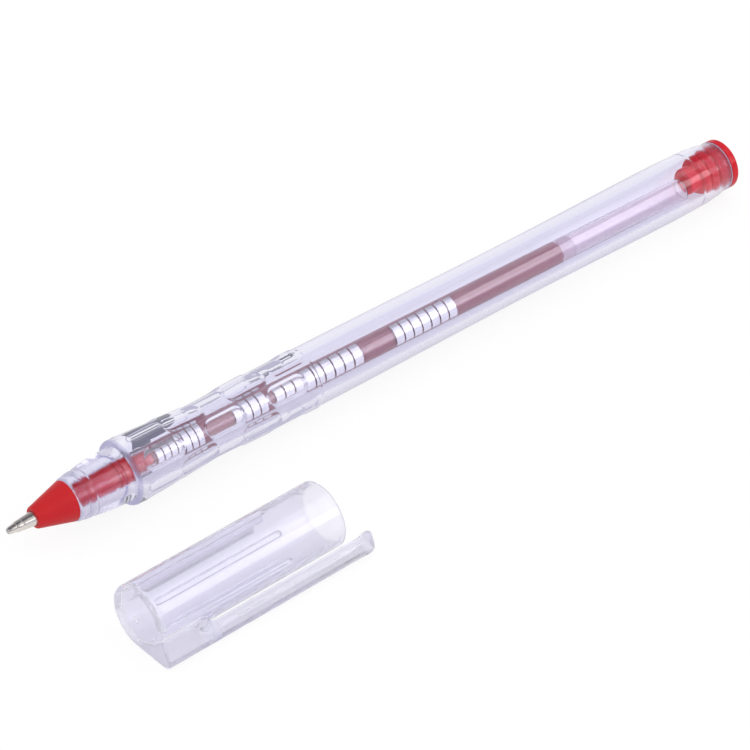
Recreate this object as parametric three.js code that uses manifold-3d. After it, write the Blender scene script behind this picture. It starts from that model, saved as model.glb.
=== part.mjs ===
// A clear-bodied ballpoint pen lying on a table, with its pull-off clip cap beside it.
// Millimetres, +Z up. The pen's tip points along -X and its tail along +X.
// The origin is on the table, under the middle of the pen and its cap.

import * as THREE from 'three';
import { mergeVertices } from 'three/addons/utils/BufferGeometryUtils.js';
import Module from 'manifold-3d';

const wasm = await Module();
wasm.setup();

// Lengths along the pen, from the end of its ball
const pointReach = 4.8; // metal tip in front of the cone
const coneLength = 6.3;
const noseLength = 9.5; // clear nose that the cap grips
const gripLength = 35.1;
const rearLength = 85.9;
const plugFlangeThickness = 1.4;

// Gaps between pieces that touch or press together
const seatGap = 0.05;
const pressClearance = 0.05;
const runningClearance = 0.15;

// Writing ball and metal tip
const ballDiameter = 0.8;
const ballClearance = 0.03;
const ballShowing = 0.2; // how far the ball stands out of its rim
const rimDiameter = 1.04;
const tipMouthDiameter = 1.32;
const tipStepDiameter = 1.76;
const tipStepTaper = 0.1; // widening along each stage of the tip
const tipBaseDiameter = 2.3;
const rimLength = 0.5;
const tipSlimLength = 1.3; // from the rim to the step
const tipStageLength = 1; // of the stage behind the step
const tipShankLength = 3.8;
const tipChannelDiameter = 0.5;
const ballSeatDepth = 0.62;

// Nose cone with its spigot and the nipple that carries the refill tube
const coneFrontDiameter = 3.4;
const coneBaseDiameter = 6.7;
const spigotLength = 10.4;
const spigotGrooveFrom = 7.75;
const spigotGrooveWidth = 0.4;
const spigotGroovePitch = 1;
const spigotGrooveDepth = 0.25;
const spigotGrooves = 3;
const spigotTailDiameter = 3.9;
const nippleLength = 4.2;
const nippleWall = 0.55;

// Clear barrel: nose, collar, grip and rear
const noseFrontDiameter = 7;
const noseGrooveDiameter = 7.65; // where the ring groove is cut
const noseShoulderDiameter = 8.45;
const noseRearDiameter = 8.8;
const noseGrooveFrom = 2.15;
const noseGrooveWidth = 0.9;
const noseGrooveDepth = 0.1;
const noseShoulderFrom = 5; // behind this the nose widens more slowly
const neckBoreDiameter = 4.4;
const neckLength = 10.1;
const boreFlareLength = 2.5;
const boreDiameter = 6.8;
const plugBoreDiameter = 6.7; // where the tail plug sits
const plugBoreLead = 0.4; // length over which the bore narrows
const collarFaceDiameter = 10.4;
const crownDiameter = 10.7;
const crownFromCollar = 2.5;
const waistDiameter = 9.4;
const waistFromCollar = 15;
const swellDiameter = 9.9;
const swellFromCollar = 27.5;
const ringGrooveWidth = 0.4;
const ringGrooveDepth = 0.1;
const rearFrontDiameter = 9.65;
const slimDiameter = 9.2;
const slimFromGrip = 44.5;
const bulgeDiameter = 9.65;
const bulgeFromTail = 11.6;
const shoulderDiameter = 9.4;
const shoulderFromTail = 5.1;
const shoulderStep = 0.15;
const tailDiameter = 8.35;
const tailStraightLength = 1.4;

// Dimples of the grip
const dimpleRows = 8;
const dimpleLength = 6.6;
const dimpleWidth = 2.6;
const dimpleDepth = 0.3;
const dimplePitch = 11.75;
const firstDimpleFromCollar = 5.6;
const staggerFromCollar = 11.6;
const slotLength = 4.8;
const slotWidth = 2.1;
const slotCorner = 0.3;
const slotFromCollar = 31.2; // middle of the short square slot
const gripTurn = THREE.MathUtils.degToRad(4); // how far the pen is rolled about its own axis

// Refill tube and what is in it
const tubeDiameter = 3.9;
const tubeBoreDiameter = 3;
const tubePlay = 0.6; // between the tube's rear end and the plug
const tubeDroop = 1.2; // how far the tube's loose rear end sinks in the bore
const inkLength = 81.1; // behind the nipple
const followerLength = 2.7;
const inkStemLength = 4;

// Tail plug
const plugRingLengths = [2.1, 1.4, 1.0]; // from the flange forwards
const plugGrooveLength = 0.5;
const plugGrooveDepth = 0.6;
const plugSpigotDiameter = 4.4;
const plugSpigotLength = 2.2;
const plugFaceDiameter = 7.85; // flat outer face

// Cap and its clip, measured from the cap's closed end
const capDiameter = 10.7;
const capLength = 35;
const capEndWall = 1.2;
const capBeadHeight = 0.08;
const capBeadWidth = 0.8;
const capBeadFromMouth = 2.9;
const capRibCount = 6;
const capRibWidth = 0.8;
const capRibRelief = 0.5; // ribs stop this far short of the nose
const clipReach = 8.55; // from the cap's axis to the clip's outer face
const clipEndRadius = 1.5;
const clipThickness = 2.6;
const clipWebLength = 8.4;
const clipOverrun = 4.2;
const clipBumpLength = 2.4;
const clipBumpHeight = 0.25;

// Where the cap's closed end lies, from the end of the ball
const capFromTip = 3.1;
const capAside = 27;
const capYaw = THREE.MathUtils.degToRad(1.3);

// Fineness of the round forms
const roundSides = 32;
const smallSides = 24;
const easedSteps = 4;
const arcSteps = 4;
const dimpleArcSteps = 2;

// Small bevels
const bevel = 0.2;
const fineBevel = 0.1;
const grooveSlope = 0.05;
const mergeTolerance = 0.002; // corners closer than this become one

// Places along the pen that follow from the lengths
const noseFront = pointReach + coneLength;
const collarFace = noseFront + noseLength;
const gripEnd = collarFace + gripLength;
const barrelEnd = gripEnd + rearLength;
const tubeFront = noseFront + spigotLength + seatGap;
const plugRingsLength = plugRingLengths.reduce((sum, length) => sum + length)
  + (plugRingLengths.length - 1) * plugGrooveLength;
const plugRingsFront = barrelEnd + seatGap - plugRingsLength;
const plugFront = plugRingsFront - plugSpigotLength;
const tubeLength = plugFront - tubePlay - tubeFront;
const nippleEnd = tubeFront + nippleLength;
const inkFront = nippleEnd + runningClearance;
const inkEnd = inkFront + inkLength;
const crown = collarFace + crownFromCollar;
const bulge = barrelEnd - bulgeFromTail;

// Geometry helpers

// Turns [x, diameter] stations about the X axis. Outer stations run towards +X and inner ones back.
function turned(stations, sides) {
  const points = stations.map(([x, diameter]) => new THREE.Vector2(diameter / 2, x));
  return new THREE.LatheGeometry(points, sides).rotateZ(-Math.PI / 2);
}

// Stations that ease from one [x, diameter] to the next, without the first one
function eased([x0, diameter0], [x1, diameter1]) {
  const stations = [];
  for (let step = 1; step <= easedSteps; step += 1) {
    const share = step / easedSteps;
    const blend = (1 - Math.cos(Math.PI * share)) / 2;
    stations.push([x0 + (x1 - x0) * share, diameter0 + (diameter1 - diameter0) * blend]);
  }
  return stations;
}

// Stations of a ring groove cut into a turned form
function ringGroove(from, width, depth, diameterBefore, diameterBehind) {
  const floor = diameterBefore - 2 * depth;
  return [
    [from, diameterBefore],
    [from + grooveSlope, floor],
    [from + width - grooveSlope, floor],
    [from + width, diameterBehind],
  ];
}

// A closed geometry as a solid that can be joined and cut
function solidOf(geometry) {
  const bare = geometry.clone();
  bare.deleteAttribute('normal');
  bare.deleteAttribute('uv');
  const merged = mergeVertices(bare, 1e-5);
  const corners = merged.index.array;
  const triangles = [];
  for (let i = 0; i < corners.length; i += 3) {
    const [a, b, c] = [corners[i], corners[i + 1], corners[i + 2]];
    if (a !== b && b !== c && c !== a) triangles.push(a, b, c);
  }
  return new wasm.Manifold(new wasm.Mesh({
    numProp: 3,
    vertProperties: Float32Array.from(merged.attributes.position.array),
    triVerts: Uint32Array.from(triangles),
  }));
}

function geometryOf(solid) {
  const mesh = solid.getMesh();
  const geometry = new THREE.BufferGeometry();
  geometry.setAttribute('position', new THREE.BufferAttribute(mesh.vertProperties, mesh.numProp));
  geometry.setIndex(new THREE.BufferAttribute(mesh.triVerts, 1));
  geometry.computeVertexNormals();
  return geometry;
}

// A shape drawn in YZ, pushed along +X from x0
function alongX(shape, x0, length) {
  const geometry = new THREE.ExtrudeGeometry(shape, {
    depth: length,
    bevelEnabled: false,
    curveSegments: arcSteps,
  });
  // The shape's own X and Y become Y and Z
  const turn = new THREE.Matrix4().makeBasis(
    new THREE.Vector3(0, 1, 0),
    new THREE.Vector3(0, 0, 1),
    new THREE.Vector3(1, 0, 0),
  );
  return geometry.applyMatrix4(turn).translate(x0, 0, 0);
}

// A box given by its two corners
function boxBetween(low, high) {
  const size = high.map((value, axis) => value - low[axis]);
  const middle = high.map((value, axis) => (value + low[axis]) / 2);
  return new THREE.BoxGeometry(...size).translate(...middle);
}

// Materials

function clearPlastic() {
  return new THREE.MeshStandardMaterial({
    color: 0xdfdcf2,
    roughness: 0.08,
    metalness: 0,
    transparent: true,
    opacity: 0.35,
  });
}

function plainMaterial(color, roughness, metalness) {
  return new THREE.MeshStandardMaterial({ color, roughness, metalness });
}

function addPiece(group, name, geometry, material) {
  const mesh = new THREE.Mesh(geometry, material);
  mesh.name = name;
  group.add(mesh);
}

// Writing ball, free to roll in the rim of the tip
function makeBall() {
  const ball = new THREE.SphereGeometry(ballDiameter / 2, smallSides, smallSides / 2);
  return ball.translate(ballDiameter / 2, 0, 0);
}

// Metal tip: rolled rim, ball seat, stepped cone, and a shank in the nose cone
function makePoint() {
  const step = ballShowing + tipSlimLength;
  const shankEnd = pointReach + tipShankLength;
  const socketDiameter = ballDiameter + 2 * ballClearance;
  const lipDiameter = ballDiameter - ballClearance;
  return turned([
    [ballShowing, lipDiameter],
    [ballShowing, rimDiameter],
    [ballShowing + rimLength, tipMouthDiameter - tipStepTaper],
    [step, tipMouthDiameter + tipStepTaper],
    [step + fineBevel, tipStepDiameter - tipStepTaper],
    [step + tipStageLength, tipStepDiameter + tipStepTaper],
    [pointReach, tipBaseDiameter],
    [shankEnd, tipBaseDiameter],
    [shankEnd, tipChannelDiameter],
    [ballDiameter / 2 + ballSeatDepth, tipChannelDiameter],
    [ballDiameter + ballClearance, tipChannelDiameter],
    [ballDiameter / 2, socketDiameter],
    [ballShowing + ballClearance, socketDiameter],
    [ballShowing, lipDiameter],
  ], smallSides);
}

// Red cone, its grooved spigot and the nipple for the refill tube
function makeNoseCone() {
  const base = noseFront - seatGap;
  const spigotDiameter = neckBoreDiameter - 2 * runningClearance;
  const spigotEnd = noseFront + spigotLength;
  const nippleDiameter = tubeBoreDiameter - 2 * runningClearance;
  const channelDiameter = nippleDiameter - 2 * nippleWall;
  const tipBoreDiameter = tipBaseDiameter + 2 * pressClearance;
  const shankEnd = pointReach + tipShankLength + pressClearance;
  const stations = [
    [pointReach, tipBoreDiameter],
    [pointReach, coneFrontDiameter - 2 * bevel],
    [pointReach + bevel, coneFrontDiameter],
    [base - bevel, coneBaseDiameter],
    [base, coneBaseDiameter - bevel],
    [base, spigotDiameter],
  ];
  for (let groove = 1; groove <= spigotGrooves; groove += 1) {
    const from = noseFront + spigotGrooveFrom + (groove - 1) * spigotGroovePitch;
    const behind = groove < spigotGrooves ? spigotDiameter : spigotTailDiameter;
    const cut = ringGroove(from, spigotGrooveWidth, spigotGrooveDepth, spigotDiameter, behind);
    stations.push(...cut);
  }
  stations.push(
    [spigotEnd, spigotTailDiameter],
    [spigotEnd, nippleDiameter],
    [nippleEnd, nippleDiameter],
    [nippleEnd, channelDiameter],
    [shankEnd, channelDiameter],
    [shankEnd, tipBoreDiameter],
    [pointReach, tipBoreDiameter],
  );
  return turned(stations, smallSides);
}

// Outer stations of the grip and the rear, where they are smooth
function bodyStations() {
  const crownStation = [crown, crownDiameter];
  const waist = [collarFace + waistFromCollar, waistDiameter];
  const swell = [collarFace + swellFromCollar, swellDiameter];
  const rearRim = [gripEnd + ringGrooveWidth / 2, rearFrontDiameter];
  const gripGroove = ringGroove(
    gripEnd - ringGrooveWidth / 2,
    ringGrooveWidth,
    ringGrooveDepth,
    swellDiameter,
    rearFrontDiameter,
  );
  const slim = [gripEnd + slimFromGrip, slimDiameter];
  const bulgeStation = [bulge, bulgeDiameter];
  const shoulder = [barrelEnd - shoulderFromTail, shoulderDiameter];
  const underShoulder = [shoulder[0] + grooveSlope, shoulderDiameter - 2 * shoulderStep];
  const tail = [barrelEnd - tailStraightLength, tailDiameter];
  return [
    [collarFace, collarFaceDiameter],
    ...eased([collarFace, collarFaceDiameter], crownStation),
    ...eased(crownStation, waist),
    ...eased(waist, swell),
    ...gripGroove,
    ...eased(rearRim, slim),
    ...eased(slim, bulgeStation),
    ...eased(bulgeStation, shoulder),
    underShoulder,
    ...eased(underShoulder, tail),
    [barrelEnd, tailDiameter],
  ];
}

// Tapered nose that the cap slides over, with a shallow ring groove
function noseStations() {
  const groove = ringGroove(
    noseFront + noseGrooveFrom,
    noseGrooveWidth,
    noseGrooveDepth,
    noseGrooveDiameter,
    noseGrooveDiameter,
  );
  return [
    [noseFront, noseFrontDiameter - 2 * bevel],
    [noseFront + bevel, noseFrontDiameter],
    ...groove,
    [noseFront + noseShoulderFrom, noseShoulderDiameter],
    [collarFace, noseRearDiameter],
  ];
}

// Diameter of the smooth body at x, read off its stations
function bodyDiameterAt(x, stations) {
  const next = stations.findIndex(([place]) => place > x);
  const [x0, diameter0] = stations[next - 1];
  const [x1, diameter1] = stations[next];
  return diameter0 + (diameter1 - diameter0) * (x - x0) / (x1 - x0);
}

// Outline with straight sides and rounded corners, centred on the origin
function roundedBar(length, width, corner) {
  const shape = new THREE.Shape();
  const x = length / 2 - corner;
  const y = width / 2 - corner;
  shape.absarc(x, -y, corner, -Math.PI / 2, 0, false);
  shape.absarc(x, y, corner, 0, Math.PI / 2, false);
  shape.absarc(-x, y, corner, Math.PI / 2, Math.PI, false);
  shape.absarc(-x, -y, corner, Math.PI, 1.5 * Math.PI, false);
  return shape;
}

// Cutter for one dimple: a flat-floored prism laid along the body's own slope
function dimpleCutter(shape, middle, length, angle, stations) {
  const front = bodyDiameterAt(middle - length / 2, stations) / 2;
  const back = bodyDiameterAt(middle + length / 2, stations) / 2;
  const slope = Math.atan2(back - front, length);
  const geometry = new THREE.ExtrudeGeometry(shape, {
    depth: dimpleWidth,
    bevelEnabled: false,
    curveSegments: dimpleArcSteps,
  });
  return geometry
    .rotateY(-slope)
    .translate(middle, 0, (front + back) / 2 - dimpleDepth)
    .rotateX(angle);
}

// One clear moulding from the nose to the tail, bored through
function makeBarrel() {
  const outer = bodyStations();
  const neckEnd = noseFront + neckLength;
  const flareEnd = neckEnd + boreFlareLength;
  const plugBoreFront = plugRingsFront - plugBoreLead;
  let barrel = solidOf(turned([
    [noseFront, neckBoreDiameter],
    ...noseStations(),
    ...outer,
    [barrelEnd, plugBoreDiameter],
    [plugBoreFront, plugBoreDiameter],
    [plugBoreFront - plugBoreLead, boreDiameter],
    [flareEnd, boreDiameter],
    [neckEnd, neckBoreDiameter],
    [noseFront, neckBoreDiameter],
  ], roundSides));
  const oval = roundedBar(dimpleLength, dimpleWidth, dimpleWidth / 2 - fineBevel);
  const slot = roundedBar(slotLength, slotWidth, slotCorner);
  for (let row = 0; row < dimpleRows; row += 1) {
    const angle = gripTurn + row * 2 * Math.PI / dimpleRows;
    const staggered = row % 2 === 0;
    const first = collarFace + (staggered ? staggerFromCollar : firstDimpleFromCollar);
    for (let copy = 0; copy < (staggered ? 2 : 3); copy += 1) {
      const middle = first + copy * dimplePitch;
      barrel = barrel.subtract(solidOf(dimpleCutter(oval, middle, dimpleLength, angle, outer)));
    }
    if (staggered) {
      const middle = collarFace + slotFromCollar;
      barrel = barrel.subtract(solidOf(dimpleCutter(slot, middle, slotLength, angle, outer)));
    }
  }
  return geometryOf(barrel.simplify(mergeTolerance));
}

// Refill tube, open at both ends
function makeRefillTube() {
  const end = tubeFront + tubeLength;
  return turned([
    [tubeFront, tubeBoreDiameter],
    [tubeFront, tubeDiameter],
    [end, tubeDiameter],
    [end, tubeBoreDiameter],
    [tubeFront, tubeBoreDiameter],
  ], smallSides);
}

// Ink, from inside the nipple to the follower
function makeInkColumn() {
  const nippleDiameter = tubeBoreDiameter - 2 * runningClearance;
  const stemDiameter = nippleDiameter - 2 * nippleWall - 2 * runningClearance;
  const inkDiameter = tubeBoreDiameter - 2 * pressClearance;
  return turned([
    [nippleEnd - inkStemLength, 0],
    [nippleEnd - inkStemLength, stemDiameter],
    [inkFront, stemDiameter],
    [inkFront, inkDiameter],
    [inkEnd, inkDiameter],
    [inkEnd, 0],
  ], smallSides);
}

// Grease follower that closes the ink at the back
function makeInkFollower() {
  const front = inkEnd + seatGap;
  const diameter = tubeBoreDiameter - 2 * pressClearance;
  return turned([
    [front, 0],
    [front, diameter],
    [front + followerLength, diameter],
    [front + followerLength, 0],
  ], smallSides);
}

// Tail plug: flange, three press rings and a small spigot that stops the refill
function makeTailPlug() {
  const flangeFront = barrelEnd + seatGap;
  const ringDiameter = plugBoreDiameter - 2 * pressClearance;
  const grooveDiameter = ringDiameter - 2 * plugGrooveDepth;
  const rings = [];
  let rear = flangeFront;
  plugRingLengths.forEach((length, ring) => {
    const last = ring === plugRingLengths.length - 1;
    rings.unshift([rear, ringDiameter]);
    rings.unshift([rear - length + fineBevel, ringDiameter]);
    rings.unshift([rear - length, last ? grooveDiameter : ringDiameter - fineBevel]);
    if (!last) {
      rings.unshift([rear - length, grooveDiameter]);
      rings.unshift([rear - length - plugGrooveLength, grooveDiameter]);
    }
    rear -= length + plugGrooveLength;
  });
  return turned([
    [plugFront, 0],
    [plugFront, plugSpigotDiameter - 2 * bevel],
    [plugFront + bevel, plugSpigotDiameter],
    [plugRingsFront, plugSpigotDiameter],
    ...rings,
    [flangeFront, tailDiameter],
    [barrelEnd + plugFlangeThickness - bevel, tailDiameter],
    [barrelEnd + plugFlangeThickness, plugFaceDiameter],
    [barrelEnd + plugFlangeThickness, 0],
  ], roundSides);
}

// Section of the cap where the clip joins it: its round body drawn out to the clip's round edge
function teardrop() {
  const reach = clipReach - clipEndRadius;
  const tangent = Math.acos((capDiameter / 2 - clipEndRadius) / reach);
  const shape = new THREE.Shape();
  shape.absarc(0, 0, capDiameter / 2, Math.PI + tangent, 3 * Math.PI - tangent, false);
  shape.absarc(-reach, 0, clipEndRadius, Math.PI - tangent, Math.PI + tangent, false);
  return shape;
}

// Side view of the clip: solid web, slot, and a tongue with a thick rounded end
function clipSide() {
  const inner = clipReach - clipThickness;
  const outer = clipReach + bevel; // clear of the clip's own outer face
  const end = capLength + clipOverrun;
  const bump = end - clipBumpLength;
  const round = clipThickness / 2;
  const shape = new THREE.Shape();
  shape.moveTo(0, 0);
  shape.lineTo(clipWebLength, 0);
  shape.lineTo(clipWebLength, inner);
  shape.lineTo(bump - clipBumpHeight, inner);
  shape.quadraticCurveTo(bump, inner, bump + clipBumpHeight, inner - clipBumpHeight);
  shape.quadraticCurveTo(end, inner - clipBumpHeight, end, inner + round);
  shape.quadraticCurveTo(end, clipReach - bevel, end - round, clipReach);
  shape.lineTo(end - round, outer);
  shape.lineTo(0, outer);
  return shape;
}

// Cap in its own frame: closed end at x = 0, mouth towards +X, clip on the -Y side
function makeCap() {
  const full = capLength + clipOverrun;
  const boreAtMouth = noseRearDiameter + 2 * runningClearance;
  const beadDiameter = boreAtMouth - 2 * capBeadHeight;
  const bead = capLength - capBeadFromMouth;
  const side = new THREE.ExtrudeGeometry(clipSide(), {
    depth: capDiameter,
    bevelEnabled: false,
    curveSegments: arcSteps,
  });
  // The side view's X stays and its Y points away from the cap's axis, along -Y
  side.translate(0, 0, -capDiameter / 2).rotateX(Math.PI);
  const clip = solidOf(alongX(teardrop(), 0, full)).intersect(solidOf(side));
  const body = solidOf(turned([
    [0, 0],
    [0, capDiameter],
    [capLength, capDiameter],
    [capLength, 0],
  ], roundSides));
  const hollow = solidOf(turned([
    [capEndWall, 0],
    [capEndWall, boreAtMouth],
    [bead, boreAtMouth],
    [bead + capBeadWidth / 2, beadDiameter],
    [bead + capBeadWidth, boreAtMouth],
    [capLength, boreAtMouth],
    [capLength, 0],
  ], roundSides));
  // The hollow is kept inside the round body, so that it leaves the clip's tongue whole
  let cap = body.add(clip).subtract(hollow.intersect(body));
  const ribEnd = capLength - noseLength - capRibRelief;
  const ribReach = coneBaseDiameter / 2 + runningClearance;
  for (let rib = 0; rib < capRibCount; rib += 1) {
    const bar = boxBetween(
      [capEndWall / 2, -capRibWidth / 2, ribReach],
      [ribEnd, capRibWidth / 2, (boreAtMouth + capDiameter) / 4],
    );
    cap = cap.add(solidOf(bar.rotateX(rib * 2 * Math.PI / capRibCount)));
  }
  return geometryOf(cap);
}

// The pen leans on its collar and on the swelling before its tail
const lieAngle = Math.asin((crownDiameter - bulgeDiameter) / 2 / (bulge - crown));
const pen = new THREE.Group();
pen.rotation.y = lieAngle;
pen.position.z = crownDiameter / 2 + crown * Math.sin(lieAngle);

addPiece(pen, 'barrel', makeBarrel(), clearPlastic());
addPiece(pen, 'tail_plug', makeTailPlug(), plainMaterial(0xd2324a, 0.2, 0));
addPiece(pen, 'nose_cone', makeNoseCone(), plainMaterial(0xcf232d, 0.3, 0));
addPiece(pen, 'point_body', makePoint(), plainMaterial(0xb9b3a8, 0.25, 1));
addPiece(pen, 'writing_ball', makeBall(), plainMaterial(0xd6d6d8, 0.1, 1));

// The refill hangs from the nipple and its rear end lies low in the bore
const refill = new THREE.Group();
refill.position.x = tubeFront;
refill.rotation.y = Math.asin(tubeDroop / tubeLength);
const refillOrigin = new THREE.Group();
refillOrigin.position.x = -tubeFront;
refill.add(refillOrigin);
pen.add(refill);
addPiece(refillOrigin, 'refill_tube', makeRefillTube(), clearPlastic());
addPiece(refillOrigin, 'ink_column', makeInkColumn(), plainMaterial(0x6b1f33, 0.4, 0));
addPiece(refillOrigin, 'ink_follower', makeInkFollower(), plainMaterial(0xf0c9d4, 0.3, 0));

// The cap lies on its round back and on the edge of its clip
const cap = new THREE.Group();
cap.position.set(capFromTip, -capAside, capDiameter / 2);
cap.rotation.z = capYaw;
const capRoll = new THREE.Group();
capRoll.rotation.x = Math.asin((capDiameter / 2 - clipEndRadius) / (clipReach - clipEndRadius));
cap.add(capRoll);
addPiece(capRoll, 'cap', makeCap(), clearPlastic());

// Everything moves together, so that the origin lies on the table under the middle
const group = new THREE.Group();
group.add(pen, cap);
group.updateMatrixWorld(true);
const bounds = new THREE.Box3().setFromObject(group, true);
group.position.set(
  -(bounds.min.x + bounds.max.x) / 2,
  -(bounds.min.y + bounds.max.y) / 2,
  -bounds.min.z,
);
group.updateMatrixWorld(true);

export default group;
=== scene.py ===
"""A clear ballpoint pen lying on a table with its cap beside it, dressed for a studio picture.

Each part keeps its sizes in millimetres in its own frame, which runs along X from the pen's ball
or from the cap's closed end. Finished meshes are in metres, in the shared frame.
"""

import logging
import math
from dataclasses import dataclass, field
from enum import Enum
from typing import Any, Callable, Sequence

import bpy
import numpy as np
from mathutils import Matrix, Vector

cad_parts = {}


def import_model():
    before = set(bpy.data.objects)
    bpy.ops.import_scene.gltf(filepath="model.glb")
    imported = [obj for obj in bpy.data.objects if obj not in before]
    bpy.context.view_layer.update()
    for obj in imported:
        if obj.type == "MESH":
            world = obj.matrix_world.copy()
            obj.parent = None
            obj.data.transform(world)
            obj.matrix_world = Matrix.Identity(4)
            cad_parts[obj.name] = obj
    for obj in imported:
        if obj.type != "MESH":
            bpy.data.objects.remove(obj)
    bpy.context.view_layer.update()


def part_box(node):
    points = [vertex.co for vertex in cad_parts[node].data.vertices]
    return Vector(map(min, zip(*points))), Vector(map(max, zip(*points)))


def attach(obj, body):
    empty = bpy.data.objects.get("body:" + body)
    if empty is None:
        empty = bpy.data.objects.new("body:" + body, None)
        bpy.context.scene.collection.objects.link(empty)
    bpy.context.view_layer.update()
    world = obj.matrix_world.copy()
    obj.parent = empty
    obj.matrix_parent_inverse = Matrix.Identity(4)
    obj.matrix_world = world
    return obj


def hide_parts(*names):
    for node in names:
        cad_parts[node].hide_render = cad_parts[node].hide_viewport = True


log = logging.getLogger("pen")

MM = 0.001
TURN = 2 * math.pi
Profile = list[tuple[float, float]]
Colour = tuple[float, float, float]


class Body(Enum):
    """The moving bodies that pieces ride on."""

    BARREL = "barrel"
    REFILL = "refill"
    BALL = "writing_ball"
    CAP = "cap"


class Slot(Enum):
    """The record's material slots."""

    CLEAR = "clear_plastic"
    RED_CLEAR = "red_translucent"
    RED = "red_plastic"
    METAL = "nickel_silver"
    BALL = "polished_ball"
    TUBE = "clear_tube"
    INK = "ink"
    FOLLOWER = "follower_grease"


@dataclass(frozen=True)
class PenLayout:
    """Places along the pen from the end of its ball, and how the pen and its cap lie, in mm."""

    point_reach: float = 4.8
    nose_front: float = 11.1
    collar_face: float = 20.6
    grip_end: float = 55.7
    barrel_end: float = 141.6
    plug_flange: float = 1.4
    crown_diameter: float = 10.7
    crown_from_collar: float = 2.5
    bulge_diameter: float = 9.65
    bulge_from_tail: float = 11.6
    tube_front: float = 21.55
    tube_end: float = 133.35
    tube_droop: float = 1.2
    ball_diameter: float = 0.8
    nipple_length: float = 4.2
    cap_from_tip: float = 3.1
    cap_aside: float = 27.0
    cap_yaw_deg: float = 1.3
    cap_diameter: float = 10.7
    clip_reach: float = 8.55
    clip_end_radius: float = 1.5

    def pen_place(self, offset: Matrix) -> Matrix:
        """Where the pen's own frame lies.

        Args:
            offset: the shift that brings the origin under the middle of the object.

        Returns:
            The pen's matrix, in mm.
        """
        crown = self.collar_face + self.crown_from_collar
        bulge = self.barrel_end - self.bulge_from_tail
        lean = math.asin((self.crown_diameter - self.bulge_diameter) / 2 / (bulge - crown))
        height = self.crown_diameter / 2 + crown * math.sin(lean)
        return offset @ Matrix.Translation((0, 0, height)) @ Matrix.Rotation(lean, 4, "Y")

    def refill_place(self, pen: Matrix) -> Matrix:
        """Where the refill's own frame lies.

        Args:
            pen: the pen's matrix.

        Returns:
            The refill's matrix, in mm.
        """
        droop = math.asin(self.tube_droop / (self.tube_end - self.tube_front))
        there = Matrix.Translation((self.tube_front, 0, 0))
        return pen @ there @ Matrix.Rotation(droop, 4, "Y") @ there.inverted()

    def cap_place(self, offset: Matrix) -> Matrix:
        """Where the cap's own frame lies, rolled on to its clip.

        Args:
            offset: the shift that brings the origin under the middle of the object.

        Returns:
            The cap's matrix, in mm.
        """
        radius = self.cap_diameter / 2
        roll = math.asin((radius - self.clip_end_radius) / (self.clip_reach - self.clip_end_radius))
        place = Matrix.Translation((self.cap_from_tip, -self.cap_aside, radius))
        yaw = Matrix.Rotation(math.radians(self.cap_yaw_deg), 4, "Z")
        return offset @ place @ yaw @ Matrix.Rotation(roll, 4, "X")


# Node trees


class NodeBook:
    """Adds nodes to a tree and joins them."""

    def __init__(self, tree: bpy.types.NodeTree) -> None:
        """Starts on a tree, without its default nodes."""
        self.tree = tree
        tree.nodes.clear()

    def add(
        self, kind: str, inputs: dict[str | int, Any] | None = None, **settings: Any
    ) -> bpy.types.Node:
        """Adds one node.

        Args:
            kind: the node's type name.
            inputs: values or sockets for the node's inputs, by name or number.
            settings: the node's own properties.

        Returns:
            The new node.
        """
        node = self.tree.nodes.new(kind)
        for key, value in settings.items():
            setattr(node, key, value)
        for key, value in (inputs or {}).items():
            if isinstance(value, bpy.types.NodeSocket):
                self.tree.links.new(value, node.inputs[key])
            else:
                node.inputs[key].default_value = value
        return node

    def math(self, operation: str, *values: Any) -> bpy.types.NodeSocket:
        """Adds a Math node on up to three values, and returns its result."""
        node = self.add("ShaderNodeMath", dict(enumerate(values)), operation=operation)
        return node.outputs[0]

    def ramp(self, value: Any, low: float, high: float, start: float, end: float) -> Any:
        """Adds a smooth Map Range from low..high to start..end, and returns its result."""
        inputs = {0: value, 1: low, 2: high, 3: start, 4: end}
        node = self.add("ShaderNodeMapRange", inputs, interpolation_type="SMOOTHSTEP")
        return node.outputs[0]

    def mix(self, share: Any, first: Any, second: Any) -> bpy.types.NodeSocket:
        """Adds a colour mix, and returns its result."""
        node = self.add("ShaderNodeMix", {0: share, 6: first, 7: second}, data_type="RGBA")
        return node.outputs[2]

    def blend(self, share: Any, first: Any, second: Any) -> bpy.types.NodeSocket:
        """Adds a mix of two shaders, and returns its result."""
        return self.add("ShaderNodeMixShader", {0: share, 1: first, 2: second}).outputs[0]

    def effect(self, tree: bpy.types.NodeTree, inputs: dict[str, Any]) -> Any:
        """Places a shared shader group with the given inputs, and returns its outputs."""
        return self.add("ShaderNodeGroup", inputs, node_tree=tree).outputs


def new_material(name: str) -> tuple[bpy.types.Material, NodeBook]:
    """Starts a material with an empty tree, and returns it with the book on the tree."""
    made = bpy.data.materials.new(name)
    made.use_nodes = True
    return made, NodeBook(made.node_tree)


def new_group(
    name: str, inputs: dict[str, tuple[str, Any]], outputs: dict[str, str], kind: str
) -> tuple[NodeBook, bpy.types.Node, bpy.types.Node]:
    """Starts a node group with named sockets.

    Args:
        name: the group's name.
        inputs: for each input its socket kind and default, or None for no default.
        outputs: for each output its socket kind.
        kind: the tree's type name.

    Returns:
        The book on the tree, its Group Input and its Group Output.
    """
    tree = bpy.data.node_groups.new(name, kind)
    for label, (socket_kind, default) in inputs.items():
        socket = tree.interface.new_socket(label, in_out="INPUT", socket_type=socket_kind)
        if default is not None:
            socket.default_value = default
    for label, socket_kind in outputs.items():
        tree.interface.new_socket(label, in_out="OUTPUT", socket_type=socket_kind)
    book = NodeBook(tree)
    return book, book.add("NodeGroupInput"), book.add("NodeGroupOutput")


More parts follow.
